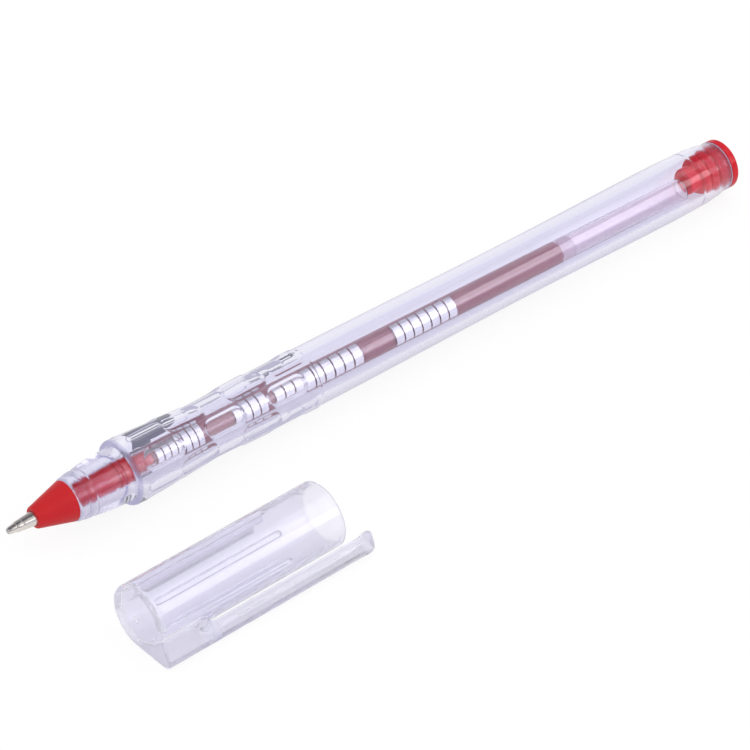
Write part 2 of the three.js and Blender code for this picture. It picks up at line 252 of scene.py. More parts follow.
class SurfaceEffects:
    """Shader groups that several finishes share, each built once.

    Each set of scratches is a turn and a stretch. Shares and spreads count in the group's scale.
    """

    flow_stretch = 0.06
    streak_share = 0.9
    cloud_share = 0.12
    scratch_sets = ((0.4, 0.12), (-0.9, 0.1), (1.9, 0.15))
    scratch_tilt = 0.3
    scratch_width = 0.006
    patch_share = 0.35
    patch_band = (0.5, 0.62)
    speck_share = 4.0
    speck_band = (0.04, 0.1)
    ring_unevenness = 0.7

    def __init__(self) -> None:
        """Builds the groups."""
        self.moulding = self.build_moulding()
        self.handling = self.build_handling()
        self.turning = self.build_turning()

    def build_moulding(self) -> bpy.types.NodeTree:
        """Builds the faint waviness and flow lines of a moulded surface, and returns the group."""
        inputs = {
            "Vector": ("NodeSocketVector", None),
            "Grain": ("NodeSocketFloat", 900.0),
            "Flow": ("NodeSocketFloat", 0.5),
        }
        outputs = {"Height": "NodeSocketFloat", "Cloud": "NodeSocketFloat"}
        book, given, out = new_group("moulded_surface", inputs, outputs, "ShaderNodeTree")
        vector, grain = given.outputs["Vector"], given.outputs["Grain"]
        fine = book.add("ShaderNodeTexNoise", {"Vector": vector, "Scale": grain, "Detail": 2.0})
        stretched = (self.flow_stretch, 1.0, 1.0)
        along = book.add("ShaderNodeMapping", {"Vector": vector, "Scale": stretched})
        size = book.math("MULTIPLY", grain, self.streak_share)
        streaks = book.add(
            "ShaderNodeTexNoise", {"Vector": along.outputs[0], "Scale": size, "Detail": 3.0}
        )
        size = book.math("MULTIPLY", grain, self.cloud_share)
        cloud = book.add("ShaderNodeTexNoise", {"Vector": vector, "Scale": size, "Detail": 4.0})
        height = book.add(
            "ShaderNodeMix",
            {0: given.outputs["Flow"], 2: fine.outputs[0], 3: streaks.outputs[0]},
            data_type="FLOAT",
        )
        book.tree.links.new(height.outputs[0], out.inputs["Height"])
        book.tree.links.new(cloud.outputs[0], out.inputs["Cloud"])
        return book.tree

    def build_handling(self) -> bpy.types.NodeTree:
        """Builds hairline scratches and dust specks from handling, and returns the group."""
        inputs = {
            "Vector": ("NodeSocketVector", None),
            "Scale": ("NodeSocketFloat", 260.0),
            "Amount": ("NodeSocketFloat", 0.5),
        }
        outputs = {"Scratches": "NodeSocketFloat", "Specks": "NodeSocketFloat"}
        book, given, out = new_group("handling_marks", inputs, outputs, "ShaderNodeTree")
        vector, scale = given.outputs["Vector"], given.outputs["Scale"]
        found = None
        for turn, stretch in self.scratch_sets:
            rotation, scaled = (turn, self.scratch_tilt * turn, turn), (stretch, 1.0, 1.0)
            mapped = book.add(
                "ShaderNodeMapping", {"Vector": vector, "Rotation": rotation, "Scale": scaled}
            )
            lines = book.add(
                "ShaderNodeTexNoise",
                {"Vector": mapped.outputs[0], "Scale": scale, "Detail": 1.0},
            )
            ridge = book.math("ABSOLUTE", book.math("SUBTRACT", lines.outputs[0], 0.5))
            line = book.ramp(ridge, 0.0, self.scratch_width, 1.0, 0.0)
            found = line if found is None else book.math("MAXIMUM", found, line)
        size = book.math("MULTIPLY", scale, self.patch_share)
        patches = book.add("ShaderNodeTexNoise", {"Vector": vector, "Scale": size, "Detail": 2.0})
        where = book.ramp(patches.outputs[0], *self.patch_band, 0.0, 1.0)
        amount = given.outputs["Amount"]
        scratches = book.math("MULTIPLY", book.math("MULTIPLY", found, where), amount)
        size = book.math("MULTIPLY", scale, self.speck_share)
        cells = book.add("ShaderNodeTexVoronoi", {"Vector": vector, "Scale": size})
        specks = book.ramp(cells.outputs["Distance"], *self.speck_band, 1.0, 0.0)
        specks = book.math("MULTIPLY", specks, amount)
        book.tree.links.new(scratches, out.inputs["Scratches"])
        book.tree.links.new(specks, out.inputs["Specks"])
        return book.tree

    def build_turning(self) -> bpy.types.NodeTree:
        """Builds the fine rings that a lathe tool leaves, and returns the group."""
        inputs = {
            "Vector": ("NodeSocketVector", None),
            "Pitch": ("NodeSocketFloat", 0.00006),
        }
        outputs = {"Height": "NodeSocketFloat", "Tone": "NodeSocketFloat"}
        book, given, out = new_group("turning_marks", inputs, outputs, "ShaderNodeTree")
        along = book.add("ShaderNodeSeparateXYZ", {0: given.outputs["Vector"]}).outputs[0]
        steps = book.math("DIVIDE", along, given.outputs["Pitch"])
        rings = book.math("SINE", book.math("MULTIPLY", steps, TURN))
        line = book.add("ShaderNodeCombineXYZ", {0: steps})
        unevenness = {"Vector": line.outputs[0], "Scale": self.ring_unevenness}
        uneven = book.add("ShaderNodeTexNoise", unevenness)
        height = book.math("MULTIPLY", rings, uneven.outputs[0])
        book.tree.links.new(height, out.inputs["Height"])
        book.tree.links.new(uneven.outputs[0], out.inputs["Tone"])
        return book.tree


@dataclass(frozen=True)
class Finish:
    """A finish of one moulded or turned material, in plain values.

    Where the finish has a painted glow colour, the surface glows with it: a painted glow in place
    of light that is still inside after trapped_past glossy bounces. The shadow colour tints light
    on its way to a lamp, and the matt one comes in where a piece's matt attribute asks for it.
    """

    name: str
    colour: Colour
    deep_colour: Colour
    roughness: float = 0.2
    metallic: float = 0.0
    transmission: float = 0.0
    ior: float = 1.5
    grain: float = 900.0
    flow: float = 0.5
    bump: float = 0.02
    marks: float = 0.5
    subsurface: float = 0.0
    coat: float = 0.0
    coat_ior: float = 1.5
    coat_roughness: float = 0.08
    ring_pitch: float = 0.0
    shadow_colour: Colour | None = None
    painted_glow_colour: Colour | None = None
    matt_colour: Colour | None = None
    matt_roughness: float = 0.4
    scratch_depth: float = 0.6
    worn_roughness: float = 0.25
    relief: float = 0.0001
    subsurface_radius: Colour = (1.0, 0.25, 0.2)
    subsurface_scale: float = 0.0012
    cloud_band: tuple[float, float] = (0.3, 0.7)
    moulding_under_rings: float = 0.5
    trapped_past: float = 2.5

    def material(self, effects: SurfaceEffects) -> bpy.types.Material:
        """Builds the material.

        Args:
            effects: the shared shader groups.

        Returns:
            The material.
        """
        made, book = new_material(self.name)
        surface = self.surface(book, effects)
        rays = book.add("ShaderNodeLightPath").outputs
        # Painted glow: past trapped_past glossy bounces the surface emits the painted glow colour
        # instead of going dark.
        if self.painted_glow_colour:
            painted_glow = book.add("ShaderNodeEmission", {"Color": (*self.painted_glow_colour, 1)})
            lost = book.math("GREATER_THAN", rays["Glossy Depth"], self.trapped_past)
            surface = book.blend(lost, surface, painted_glow.outputs[0])
        if self.shadow_colour:
            passing = book.add("ShaderNodeBsdfTransparent", {0: (*self.shadow_colour, 1)})
            surface = book.blend(rays["Is Shadow Ray"], surface, passing.outputs[0])
        book.add("ShaderNodeOutputMaterial", {"Surface": surface})
        return made

    def surface(self, book: NodeBook, effects: SurfaceEffects) -> bpy.types.NodeSocket:
        """Adds the finish's own shader with its pattern and wear.

        Args:
            book: the material's nodes.
            effects: the shared shader groups.

        Returns:
            The shader's result.
        """
        place = book.add("ShaderNodeTexCoord").outputs["Object"]
        moulding = book.effect(
            effects.moulding, {"Vector": place, "Grain": self.grain, "Flow": self.flow}
        )
        handling = book.effect(effects.handling, {"Vector": place, "Amount": self.marks})
        scratches = handling["Scratches"]
        height = moulding["Height"]
        if self.ring_pitch:
            turning = book.effect(effects.turning, {"Vector": place, "Pitch": self.ring_pitch})
            height = book.math("MULTIPLY", height, self.moulding_under_rings)
            height = book.math("ADD", turning["Height"], height)
        height = book.math("SUBTRACT", height, book.math("MULTIPLY", scratches, self.scratch_depth))
        shade = book.ramp(moulding["Cloud"], *self.cloud_band, 0.0, 1.0)
        colour = book.mix(shade, (*self.colour, 1), (*self.deep_colour, 1))
        worn = book.math("MAXIMUM", scratches, handling["Specks"])
        roughest = min(1.0, self.roughness + self.worn_roughness)
        rough = book.ramp(worn, 0.0, 1.0, self.roughness, roughest)
        coat: Any = self.coat
        if self.matt_colour:
            matt = book.add("ShaderNodeAttribute", attribute_name="matt").outputs["Fac"]
            colour = book.mix(matt, colour, (*self.matt_colour, 1))
            rough = book.math("MAXIMUM", rough, book.math("MULTIPLY", matt, self.matt_roughness))
            if self.coat:
                coat = book.math("MULTIPLY", book.math("SUBTRACT", 1.0, matt), self.coat)
        bump = book.add(
            "ShaderNodeBump", {"Strength": self.bump, "Distance": self.relief, "Height": height}
        )
        shader = book.add(
            "ShaderNodeBsdfPrincipled",
            {
                "Base Color": colour,
                "Roughness": rough,
                "Metallic": self.metallic,
                "IOR": self.ior,
                "Transmission Weight": self.transmission,
                "Subsurface Weight": self.subsurface,
                "Coat Weight": coat,
                "Coat IOR": self.coat_ior,
                "Coat Roughness": self.coat_roughness,
                "Normal": bump.outputs[0],
            },
        )
        if self.subsurface:
            shader.inputs["Subsurface Radius"].default_value = self.subsurface_radius
            shader.inputs["Subsurface Scale"].default_value = self.subsurface_scale
        return shader.outputs[0]


class Finishes:
    """Every finish on the pen and its cap."""

    CLEAR = Finish(
        name="clear_polystyrene",
        colour=(0.915, 0.905, 0.997),
        deep_colour=(0.905, 0.895, 0.993),
        roughness=0.03,
        transmission=1.0,
        ior=1.49,
        bump=0.006,
        marks=0.25,
        shadow_colour=(0.85, 0.83, 0.95),
        # painted glow for light still inside the barrel's plastic
        painted_glow_colour=(0.54, 0.53, 0.66),
        # Darker than the plastic's own colour: painted shade where it comes in, together with a
        # rougher matt finish.
        matt_colour=(0.6, 0.58, 0.86),
        matt_roughness=0.45,
    )
    CAP_CLEAR = Finish(
        name="clear_cap_plastic",
        colour=(0.905, 0.895, 0.957),
        deep_colour=(0.885, 0.875, 0.947),
        roughness=0.18,
        transmission=0.9,
        ior=1.25,
        bump=0.002,
        marks=0.3,
        grain=300.0,
        coat=1.0,
        coat_ior=1.45,
        coat_roughness=0.1,
        shadow_colour=(0.88, 0.87, 0.94),
        # painted glow for light still inside the cap's plastic
        painted_glow_colour=(0.76, 0.75, 0.86),
        matt_colour=(0.86, 0.85, 0.95),
        matt_roughness=0.55,
    )
    # The plug inside the barrel takes this brighter red, painted light for the light it lacks
    # there; the flange outside takes the matt colour, its own red.
    RED_CLEAR = Finish(
        name="red_tinted_plug",
        colour=(1.0, 0.02, 0.045),
        deep_colour=(0.94, 0.014, 0.035),
        roughness=0.12,
        transmission=0.12,
        ior=1.35,
        bump=0.02,
        subsurface=0.4,
        matt_colour=(0.66, 0.016, 0.03),
        matt_roughness=0.2,
        shadow_colour=(0.6, 0.1, 0.12),
    )
    # The spigot inside the barrel takes this brighter red, painted light for the light it lacks
    # there; the cone outside takes the matt colour, the plastic's own red.
    RED = Finish(
        name="red_moulded_cone",
        colour=(0.8, 0.011, 0.02),
        deep_colour=(0.72, 0.009, 0.016),
        roughness=0.3,
        ior=1.4,
        bump=0.03,
        subsurface=0.2,
        coat=1.0,
        coat_ior=1.5,
        coat_roughness=0.14,
        matt_colour=(0.58, 0.009, 0.014),
        matt_roughness=0.42,
    )
    METAL = Finish(
        name="turned_nickel_silver",
        colour=(0.98, 0.925, 0.85),
        deep_colour=(0.86, 0.815, 0.75),
        roughness=0.17,
        metallic=1.0,
        bump=0.1,
        marks=0.3,
        ring_pitch=0.00007,
    )
    BALL = Finish(
        name="polished_ball",
        colour=(0.72, 0.72, 0.74),
        deep_colour=(0.66, 0.66, 0.68),
        roughness=0.08,
        metallic=1.0,
        bump=0.02,
        marks=0.2,
        grain=9000.0,
    )
    TUBE = Finish(
        name="clear_refill_tube",
        colour=(1.0, 0.93, 0.955),
        deep_colour=(1.0, 0.92, 0.95),
        roughness=0.18,
        transmission=0.98,
        ior=1.5,
        bump=0.02,
        marks=0.3,
        shadow_colour=(0.9, 0.85, 0.9),
    )
    INK = Finish(
        name="red_ink_in_bulk",
        colour=(0.62, 0.285, 0.31),
        deep_colour=(0.55, 0.23, 0.26),
        roughness=0.12,
        bump=0.02,
        marks=0.0,
        grain=400.0,
        flow=0.9,
    )
    FOLLOWER = Finish(
        name="follower_grease",
        colour=(1.0, 0.89, 0.92),
        deep_colour=(1.0, 0.84, 0.88),
        roughness=0.3,
        ior=1.45,
        bump=0.05,
        marks=0.0,
        shadow_colour=(0.9, 0.7, 0.75),
    )
    FOIL = Finish(
        name="silver_foil_print",
        colour=(1.0, 1.0, 1.0),
        deep_colour=(0.97, 0.97, 0.98),
        roughness=0.25,
        metallic=0.45,
        bump=0.12,
        marks=0.6,
        grain=2600.0,
        flow=0.7,
    )


# Shapes


def softened(corners: Sequence[Sequence[float]], radius: float, steps: int = 4) -> Profile:
    """Rounds the inner corners of a line.

    Args:
        corners: (x, y) corners, with a third number where a corner has its own radius.
        radius: how far from each corner its rounding starts.
        steps: how many pieces a rounding has.

    Returns:
        The rounded line.
    """
    line: Profile = [tuple(corners[0][:2])]
    for before, here, after in zip(corners, corners[1:], corners[2:]):
        own = here[2] if len(here) > 2 else radius
        middle = np.array(here[:2])
        ways = [np.array(end[:2]) - middle for end in (before, after)]
        lengths = [float(np.linalg.norm(way)) for way in ways]
        reach = min(own, *(0.45 * length for length in lengths))
        if reach < 1e-4:
            line.append(tuple(middle))
            continue
        first, last = (middle + way / length * reach for way, length in zip(ways, lengths))
        for step in range(steps + 1):
            share = step / steps
            point = first * (1 - share) ** 2 + middle * 2 * share * (1 - share) + last * share**2
            line.append((float(point[0]), float(point[1])))
    line.append(tuple(corners[-1][:2]))
    return line


def eased(start: tuple[float, float], end: tuple[float, float], steps: int) -> Profile:
    """Points that ease from one station to the next, without the first."""
    shares = np.arange(1, steps + 1) / steps
    blend = (1 - np.cos(np.pi * shares)) / 2
    xs = start[0] + (end[0] - start[0]) * shares
    ys = start[1] + (end[1] - start[1]) * blend
    return [(float(x), float(y)) for x, y in zip(xs, ys)]


def halved(stations: Sequence[Sequence[float]]) -> list[tuple[float, ...]]:
    """Stations of x and diameter as x and radius, with any third number kept."""
    return [(x, diameter / 2, *rest) for x, diameter, *rest in stations]


def refined(line: Profile, longest: float) -> Profile:
    """Splits a line's pieces so that none is longer than the given length."""
    made: Profile = [line[0]]
    for (x0, y0), (x1, y1) in zip(line, line[1:]):
        count = max(1, math.ceil(math.hypot(x1 - x0, y1 - y0) / longest))
        made += [
            (x0 + (x1 - x0) * step / count, y0 + (y1 - y0) * step / count)
            for step in range(1, count + 1)
        ]
    return made


def smax(first: np.ndarray, second: np.ndarray | float, blend: float) -> np.ndarray:
    """The larger of two fields, with a rounded edge where they meet."""
    near = np.maximum(blend - np.abs(first - second), 0.0)
    return np.maximum(first, second) + near * near / (4 * blend)


def mesh_from(name: str, points: np.ndarray, faces: np.ndarray | list) -> bpy.types.Mesh:
    """A checked mesh of the given points and faces."""
    mesh = bpy.data.meshes.new(name)
    mesh.from_pydata(points.tolist(), [], faces if isinstance(faces, list) else faces.tolist())
    mesh.validate()
    return mesh


class FieldMesher:
    """Turns a field that is negative inside a form into a smooth closed mesh."""

    settling_rounds = 5
    longest_step = 0.08
    least_slope = 0.05

    def __init__(self, form: Callable[[np.ndarray], np.ndarray]) -> None:
        """Starts on the form's field, which takes rows of x, y, z in mm."""
        self.form = form

    def gradient(self, points: np.ndarray, step: float = 1e-3) -> np.ndarray:
        """The field's slope at each point."""
        shifts = np.eye(3) * step
        return np.stack(
            [(self.form(points + s) - self.form(points - s)) / (2 * step) for s in shifts], axis=1
        )

    def mesh(
        self, name: str, low: Sequence[float], high: Sequence[float], cell: Sequence[float]
    ) -> bpy.types.Mesh:
        """Builds the mesh, with one point in each cell that the surface crosses.

        Args:
            name: the mesh's name.
            low: the lowest corner of the space searched, in mm.
            high: its highest corner.
            cell: the size of a cell along each axis.

        Returns:
            The mesh, still in mm.
        """
        axes = [np.arange(a, b + c, c) for a, b, c in zip(low, high, cell)]
        grid = np.stack(np.meshgrid(*axes, indexing="ij"), axis=-1)
        values = self.form(grid.reshape(-1, 3)).reshape(grid.shape[:3])
        cells = tuple(n - 1 for n in values.shape)
        total, count = np.zeros((*cells, 3)), np.zeros(cells)
        crossings = []
        for axis in range(3):
            a = np.take(values, np.arange(cells[axis]), axis)
            b = np.take(values, np.arange(1, cells[axis] + 1), axis)
            crossed = (a < 0) != (b < 0)
            share = np.where(crossed, a / np.where(crossed, a - b, 1.0), 0.0)
            spot = np.take(grid, np.arange(cells[axis]), axis).copy()
            spot[..., axis] += share * cell[axis]
            u, v = (axis + 1) % 3, (axis + 2) % 3
            for du in (0, 1):
                for dv in (0, 1):
                    cut: list[Any] = [slice(None)] * 3
                    cut[u] = slice(du, cells[u] + du)
                    cut[v] = slice(dv, cells[v] + dv)
                    total += spot[tuple(cut)] * crossed[tuple(cut)][..., None]
                    count += crossed[tuple(cut)]
            crossings.append((axis, u, v, crossed, a < 0))
        used = count > 0
        number = np.full(cells, -1)
        number[used] = np.arange(int(used.sum()))
        points = total[used] / count[used][:, None]
        quads = []
        for axis, u, v, crossed, inside in crossings:
            at = np.argwhere(crossed)
            keep = (at[:, u] > 0) & (at[:, v] > 0) & (at[:, u] < cells[u]) & (at[:, v] < cells[v])
            at = at[keep]
            ring = []
            for du, dv in ((-1, -1), (0, -1), (0, 0), (-1, 0)):
                spot = at.copy()
                spot[:, u] += du
                spot[:, v] += dv
                ring.append(number[spot[:, 0], spot[:, 1], spot[:, 2]])
            ring = np.stack(ring, axis=1)
            flip = ~inside[at[:, 0], at[:, 1], at[:, 2]]
            ring[flip] = ring[flip][:, ::-1]
            quads.append(ring)
        for _ in range(self.settling_rounds):
            value, slope = self.form(points), self.gradient(points)
            size = np.maximum((slope**2).sum(axis=1), self.least_slope)
            step = np.clip(value / size, -self.longest_step, self.longest_step)
            points = points - step[:, None] * slope
        return mesh_from(name, points, np.concatenate(quads))


class TurnedForms:
    """Turns profiles about the X axis with a Geometry Nodes tree."""

    def __init__(self) -> None:
        """Builds the tree once."""
        self.tree = self.build()

    def build(self) -> bpy.types.NodeTree:
        """Builds the tree: a grid whose rows follow the profile and whose columns go round it."""
        inputs = {
            "Geometry": ("NodeSocketGeometry", None),
            "Sides": ("NodeSocketInt", 96),
            "Material": ("NodeSocketMaterial", None),
        }
        outputs = {"Geometry": "NodeSocketGeometry"}
        book, given, out = new_group("turned_form", inputs, outputs, "GeometryNodeTree")
        profile, sides = given.outputs["Geometry"], given.outputs["Sides"]
        size = book.add("GeometryNodeAttributeDomainSize", {0: profile})
        columns = book.math("ADD", sides, 1.0)
        grid = book.add(
            "GeometryNodeMeshGrid",
            {"Vertices X": size.outputs["Point Count"], "Vertices Y": columns},
        )
        index = book.add("GeometryNodeInputIndex").outputs[0]
        row = book.math("FLOOR", book.math("DIVIDE", book.math("ADD", index, 0.5), columns))
        column = book.math("SUBTRACT", index, book.math("MULTIPLY", row, columns))
        station = book.add(
            "GeometryNodeSampleIndex",
            {
                "Geometry": profile,
                "Value": book.add("GeometryNodeInputPosition").outputs[0],
                "Index": row,
            },
            data_type="FLOAT_VECTOR",
        )
        parts = book.add("ShaderNodeSeparateXYZ", {0: station.outputs[0]})
        around = book.math("DIVIDE", book.math("MULTIPLY", column, TURN), sides)
        place = book.add(
            "ShaderNodeCombineXYZ",
            {
                0: parts.outputs[0],
                1: book.math("MULTIPLY", parts.outputs[1], book.math("SINE", around)),
                2: book.math("MULTIPLY", parts.outputs[1], book.math("COSINE", around)),
            },
        )
        moved = book.add(
            "GeometryNodeSetPosition", {"Geometry": grid.outputs[0], "Position": place.outputs[0]}
        )
        merged = book.add(
            "GeometryNodeMergeByDistance", {"Geometry": moved.outputs[0], "Distance": 1e-4}
        )
        smooth = book.add("GeometryNodeSetShadeSmooth", {"Geometry": merged.outputs[0]})
        real = book.add("GeometryNodeRealizeInstances", {"Geometry": smooth.outputs[0]})
        dressed = book.add(
            "GeometryNodeSetMaterial",
            {"Geometry": real.outputs[0], "Material": given.outputs["Material"]},
        )
        book.tree.links.new(dressed.outputs[0], out.inputs[0])
        return book.tree

    def mesh(
        self, name: str, profile: Profile, material: bpy.types.Material, sides: int = 96
    ) -> bpy.types.Mesh:
        """Turns one profile.

        Args:
            name: the mesh's name.
            profile: points of x and radius in mm, outer ones running towards +X.
            material: the finish.
            sides: how many flats go round.

        Returns:
            The closed mesh, in mm.
        """
        line = bpy.data.meshes.new(name + "_profile")
        edges = [(i, i + 1) for i in range(len(profile) - 1)]
        line.from_pydata([(x, r, 0.0) for x, r in profile], edges, [])
        return evaluated(name, line, self.tree, {"Sides": sides, "Material": material})


def placed(name: str, data: bpy.types.ID) -> bpy.types.Object:
    """Puts an object with the given data in the scene, and returns it."""
    made = bpy.data.objects.new(name, data)
    bpy.context.scene.collection.objects.link(made)
    return made


def evaluated(
    name: str, start: bpy.types.Mesh, tree: bpy.types.NodeTree, values: dict[str, Any]
) -> bpy.types.Mesh:
    """Runs a Geometry Nodes tree on a mesh.

    Args:
        name: the name of the mesh that comes out.
        start: the mesh that goes in, which is then removed.
        tree: the node tree.
        values: its inputs by name.

    Returns:
        The plain mesh that the tree makes.
    """
    carrier = placed(name + "_carrier", start)
    modifier = carrier.modifiers.new("form", "NODES")
    modifier.node_group = tree
    for item in tree.interface.items_tree:
        if item.in_out == "INPUT" and item.name in values:
            modifier[item.identifier] = values[item.name]
    graph = bpy.context.evaluated_depsgraph_get()
    made = bpy.data.meshes.new_from_object(carrier.evaluated_get(graph))
    made.name = name
    bpy.data.objects.remove(carrier)
    bpy.data.meshes.remove(start)
    return made


class Workshop:
    """What every sub-assembly needs to finish its pieces."""

    def __init__(self, layout: PenLayout) -> None:
        """Builds the shared groups and trees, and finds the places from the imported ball's box.

        Args:
            layout: how the pen and the cap lie.
        """
        self.layout = layout
        self.effects = SurfaceEffects()
        self.turned = TurnedForms()
        self.made: dict[str, bpy.types.Material] = {}
        bare_pen = layout.pen_place(Matrix.Identity(4))
        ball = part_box("writing_ball")
        centre = [(a + b) / 2 / MM for a, b in zip(*ball)]
        bare = bare_pen @ Matrix.Translation((layout.ball_diameter / 2, 0, 0)).to_translation()
        offset = Matrix.Translation((centre[0] - bare[0], centre[1] - bare[1], 0))
        self.pen = layout.pen_place(offset)
        self.refill = layout.refill_place(self.pen)
        self.cap = layout.cap_place(offset)

    def material(self, finish: Finish) -> bpy.types.Material:
        """The material of a finish, built once."""
        if finish.name not in self.made:
            self.made[finish.name] = finish.material(self.effects)
        return self.made[finish.name]

    def piece(
        self,
        mesh: bpy.types.Mesh,
        place: Matrix,
        finish: Finish,
        body: Body,
        slot: Slot,
        stands_for: Sequence[str] = (),
        sharp_deg: float = 40.0,
        matt: np.ndarray | None = None,
    ) -> bpy.types.Object:
        """Puts a mesh in its place as a finished piece.

        Args:
            mesh: the mesh, in mm, in its part's own frame.
            place: the part's matrix, in mm.
            finish: what it's made of.
            body: the body it rides on.
            slot: the record's slot for its finish; not used.
            stands_for: the solids that it replaces.
            sharp_deg: the angle past which an edge shows as sharp.
            matt: how matt the surface is at each point, from 0 to 1.

        Returns:
            The object.
        """
        if matt is not None:
            layer = mesh.attributes.new("matt", "FLOAT", "POINT")
            layer.data.foreach_set("value", matt.astype(np.float32))
        mesh.transform(Matrix.Scale(MM, 4) @ place)
        mesh.materials.clear()
        mesh.materials.append(self.material(finish))
        mesh.shade_smooth()
        mesh.set_sharp_from_angle(angle=math.radians(sharp_deg))
        piece = placed(mesh.name, mesh)
        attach(piece, body.value)
        if stands_for:
            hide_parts(*stands_for)
        log.info("%s: %d faces on %s", piece.name, len(mesh.polygons), body.value)
        return piece


# The pen's parts


@dataclass
class Dimple:
    """One dimple of the grip: its middle, its turn from the top, and its size, in mm."""

    middle: float
    turn: float
    length: float
    width: float
    corner: float
    depth: float
    slope: float


@dataclass
class Barrel:
    """The clear barrel: stepped nose, collar, dimpled grip and long rear, in one moulding.

    Pairs such as the waist are a distance and a radius. The lip, the waist and the swell count
    back from the collar. The step's back, the rear's front and the slim place count back from the
    grip's end, and the grip's back and the step's front forwards from it. The shoulder, its foot
    and the tail count forwards from the rear end.
    """

    shop: Workshop
    sides: int = 192
    sharp_deg: float = 55.0
    rows: int = 8
    roll_deg: float = 4.0
    dimple_length: float = 6.6
    dimple_width: float = 2.6
    dimple_depth: float = 0.32
    dimple_slope: float = 0.48
    dimple_corner: float = 1.2
    dimple_pitch: float = 11.75
    first_dimple: float = 5.6
    staggered_dimple: float = 11.6
    slot_middle: float = 31.2
    slot_length: float = 4.8
    slot_width: float = 2.1
    slot_corner: float = 0.35
    slot_depth: float = 0.16
    slot_slope: float = 0.8
    collar_foot_radius: float = 4.42
    collar_face_radius: float = 5.16
    lip: tuple[float, float] = (0.5, 5.28)
    waist: tuple[float, float] = (15.0, 4.7)
    swell: tuple[float, float] = (27.5, 4.95)
    grip_back: tuple[float, float] = (0.3, 4.95)
    step_front: tuple[float, float] = (0.1, 4.86)
    step_back: tuple[float, float] = (0.1, 4.8)
    rear_front: tuple[float, float] = (0.3, 4.825)
    slim: tuple[float, float] = (44.5, 4.6)
    shoulder: tuple[float, float] = (5.1, 4.7)
    shoulder_foot: tuple[float, float] = (2.9, 4.5)
    tail: tuple[float, float] = (1.0, 4.18)
    tail_edge_length: float = 0.12
    tail_edge_radius: float = 4.1
    nose_piece: float = 0.14
    grip_piece: float = 0.17
    rear_piece: float = 1.6
    bore: float = 6.8
    bore_piece: float = 9.0
    mouth_lead_in: float = 0.1
    plug_bore: float = 6.7
    plug_bore_length: float = 5.85
    seat_step: float = 0.4
    neck_bore: float = 4.4
    neck_length: float = 10.1
    flare_length: float = 2.5
    nose: list[tuple[float, ...]] = field(
        default_factory=lambda: [
            (0.0, 6.6),
            (0.2, 7.0),
            (2.15, 7.62),
            (2.3, 7.42),
            (2.9, 7.46),
            (3.05, 7.75),
            (5.0, 8.45, 0.9),
            (9.5, 8.8),
        ]
    )
    dash_rings: tuple[float, ...] = (1.6, 3.7, 6.3, 7.9)
    dash_height: float = 0.05
    dash_width: float = 0.5
    dashes_per_ring: int = 6
    dash_half_share: float = 0.2
    dash_fade: float = 0.04
    dash_turn: float = 0.15
    # The collar's face takes the darker matt colour, painted shade for its band, and a rougher
    # finish.
    collar_matt_shade_front: float = -0.03
    collar_matt_shade_full: float = 0.35
    collar_matt_shade_fade: float = 0.4
    collar_matt_shade_radius: float = 4.5
    nose_matt_share: float = 0.35
    tail_matt_share: float = 0.8
    tail_matt_length: float = 0.25

    def outer_line(self) -> Profile:
        """The outer profile from the nose to the tail, as x and radius."""
        lay = self.shop.layout
        collar, grip_end, end = lay.collar_face, lay.grip_end, lay.barrel_end
        nose = softened(halved([(lay.nose_front + x, *rest) for x, *rest in self.nose]), 0.07, 3)
        crown = (collar + lay.crown_from_collar, lay.crown_diameter / 2)
        lip, waist, swell = ((collar + x, r) for x, r in (self.lip, self.waist, self.swell))
        grip_back, step_front = ((grip_end - x, r) for x, r in (self.grip_back, self.step_front))
        rear_pairs = (self.step_back, self.rear_front, self.slim)
        step_back, rear_front, slim = ((grip_end + x, r) for x, r in rear_pairs)
        bulge = (end - lay.bulge_from_tail, lay.bulge_diameter / 2)
        tail_pairs = (self.shoulder, self.shoulder_foot, self.tail)
        shoulder, foot, tail = ((end - x, r) for x, r in tail_pairs)
        foot_edge = (collar, self.collar_foot_radius, 0.1)
        face_edge = (collar, self.collar_face_radius, 0.22)
        face = softened([nose[-1], foot_edge, face_edge, lip], 0.1)
        grip = [
            *face[1:],
            *eased(lip, crown, 8),
            *eased(crown, waist, 30),
            *eased(waist, swell, 30),
            *softened([swell, grip_back, step_front], 0.06)[1:],
        ]
        rear = [
            *softened([step_back, rear_front, slim], 0.05)[:-1],
            *eased(rear_front, slim, 16),
            *eased(slim, bulge, 16),
            *eased(bulge, shoulder, 12),
            *eased(shoulder, foot, 10),
            *eased(foot, tail, 12),
            (end - self.tail_edge_length, tail[1]),
            (end, self.tail_edge_radius),
        ]
        return [
            *refined(nose, self.nose_piece),
            *refined(grip, self.grip_piece),
            *refined(rear, self.rear_piece),
        ]

    def bore_line(self) -> Profile:
        """The inner profile from the tail back to the nose, as x and radius."""
        lay = self.shop.layout
        neck_end = lay.nose_front + self.neck_length
        half, neck, seat = self.bore / 2, self.neck_bore / 2, self.plug_bore / 2
        seat_front = lay.barrel_end - self.plug_bore_length
        step, lead_in = self.seat_step, self.mouth_lead_in
        corners = [
            (lay.barrel_end, seat + lead_in),
            (lay.barrel_end - lead_in, seat),
            (seat_front + 0.2, seat),
            (seat_front, seat, 0.3),
            (seat_front - step, half, 0.3),
            (seat_front - step - 0.2, half),
            (neck_end + self.flare_length, half, 0.5),
            (neck_end, neck, 0.5),
            (lay.nose_front, neck),
        ]
        return refined(softened(corners, 0.05), self.bore_piece)

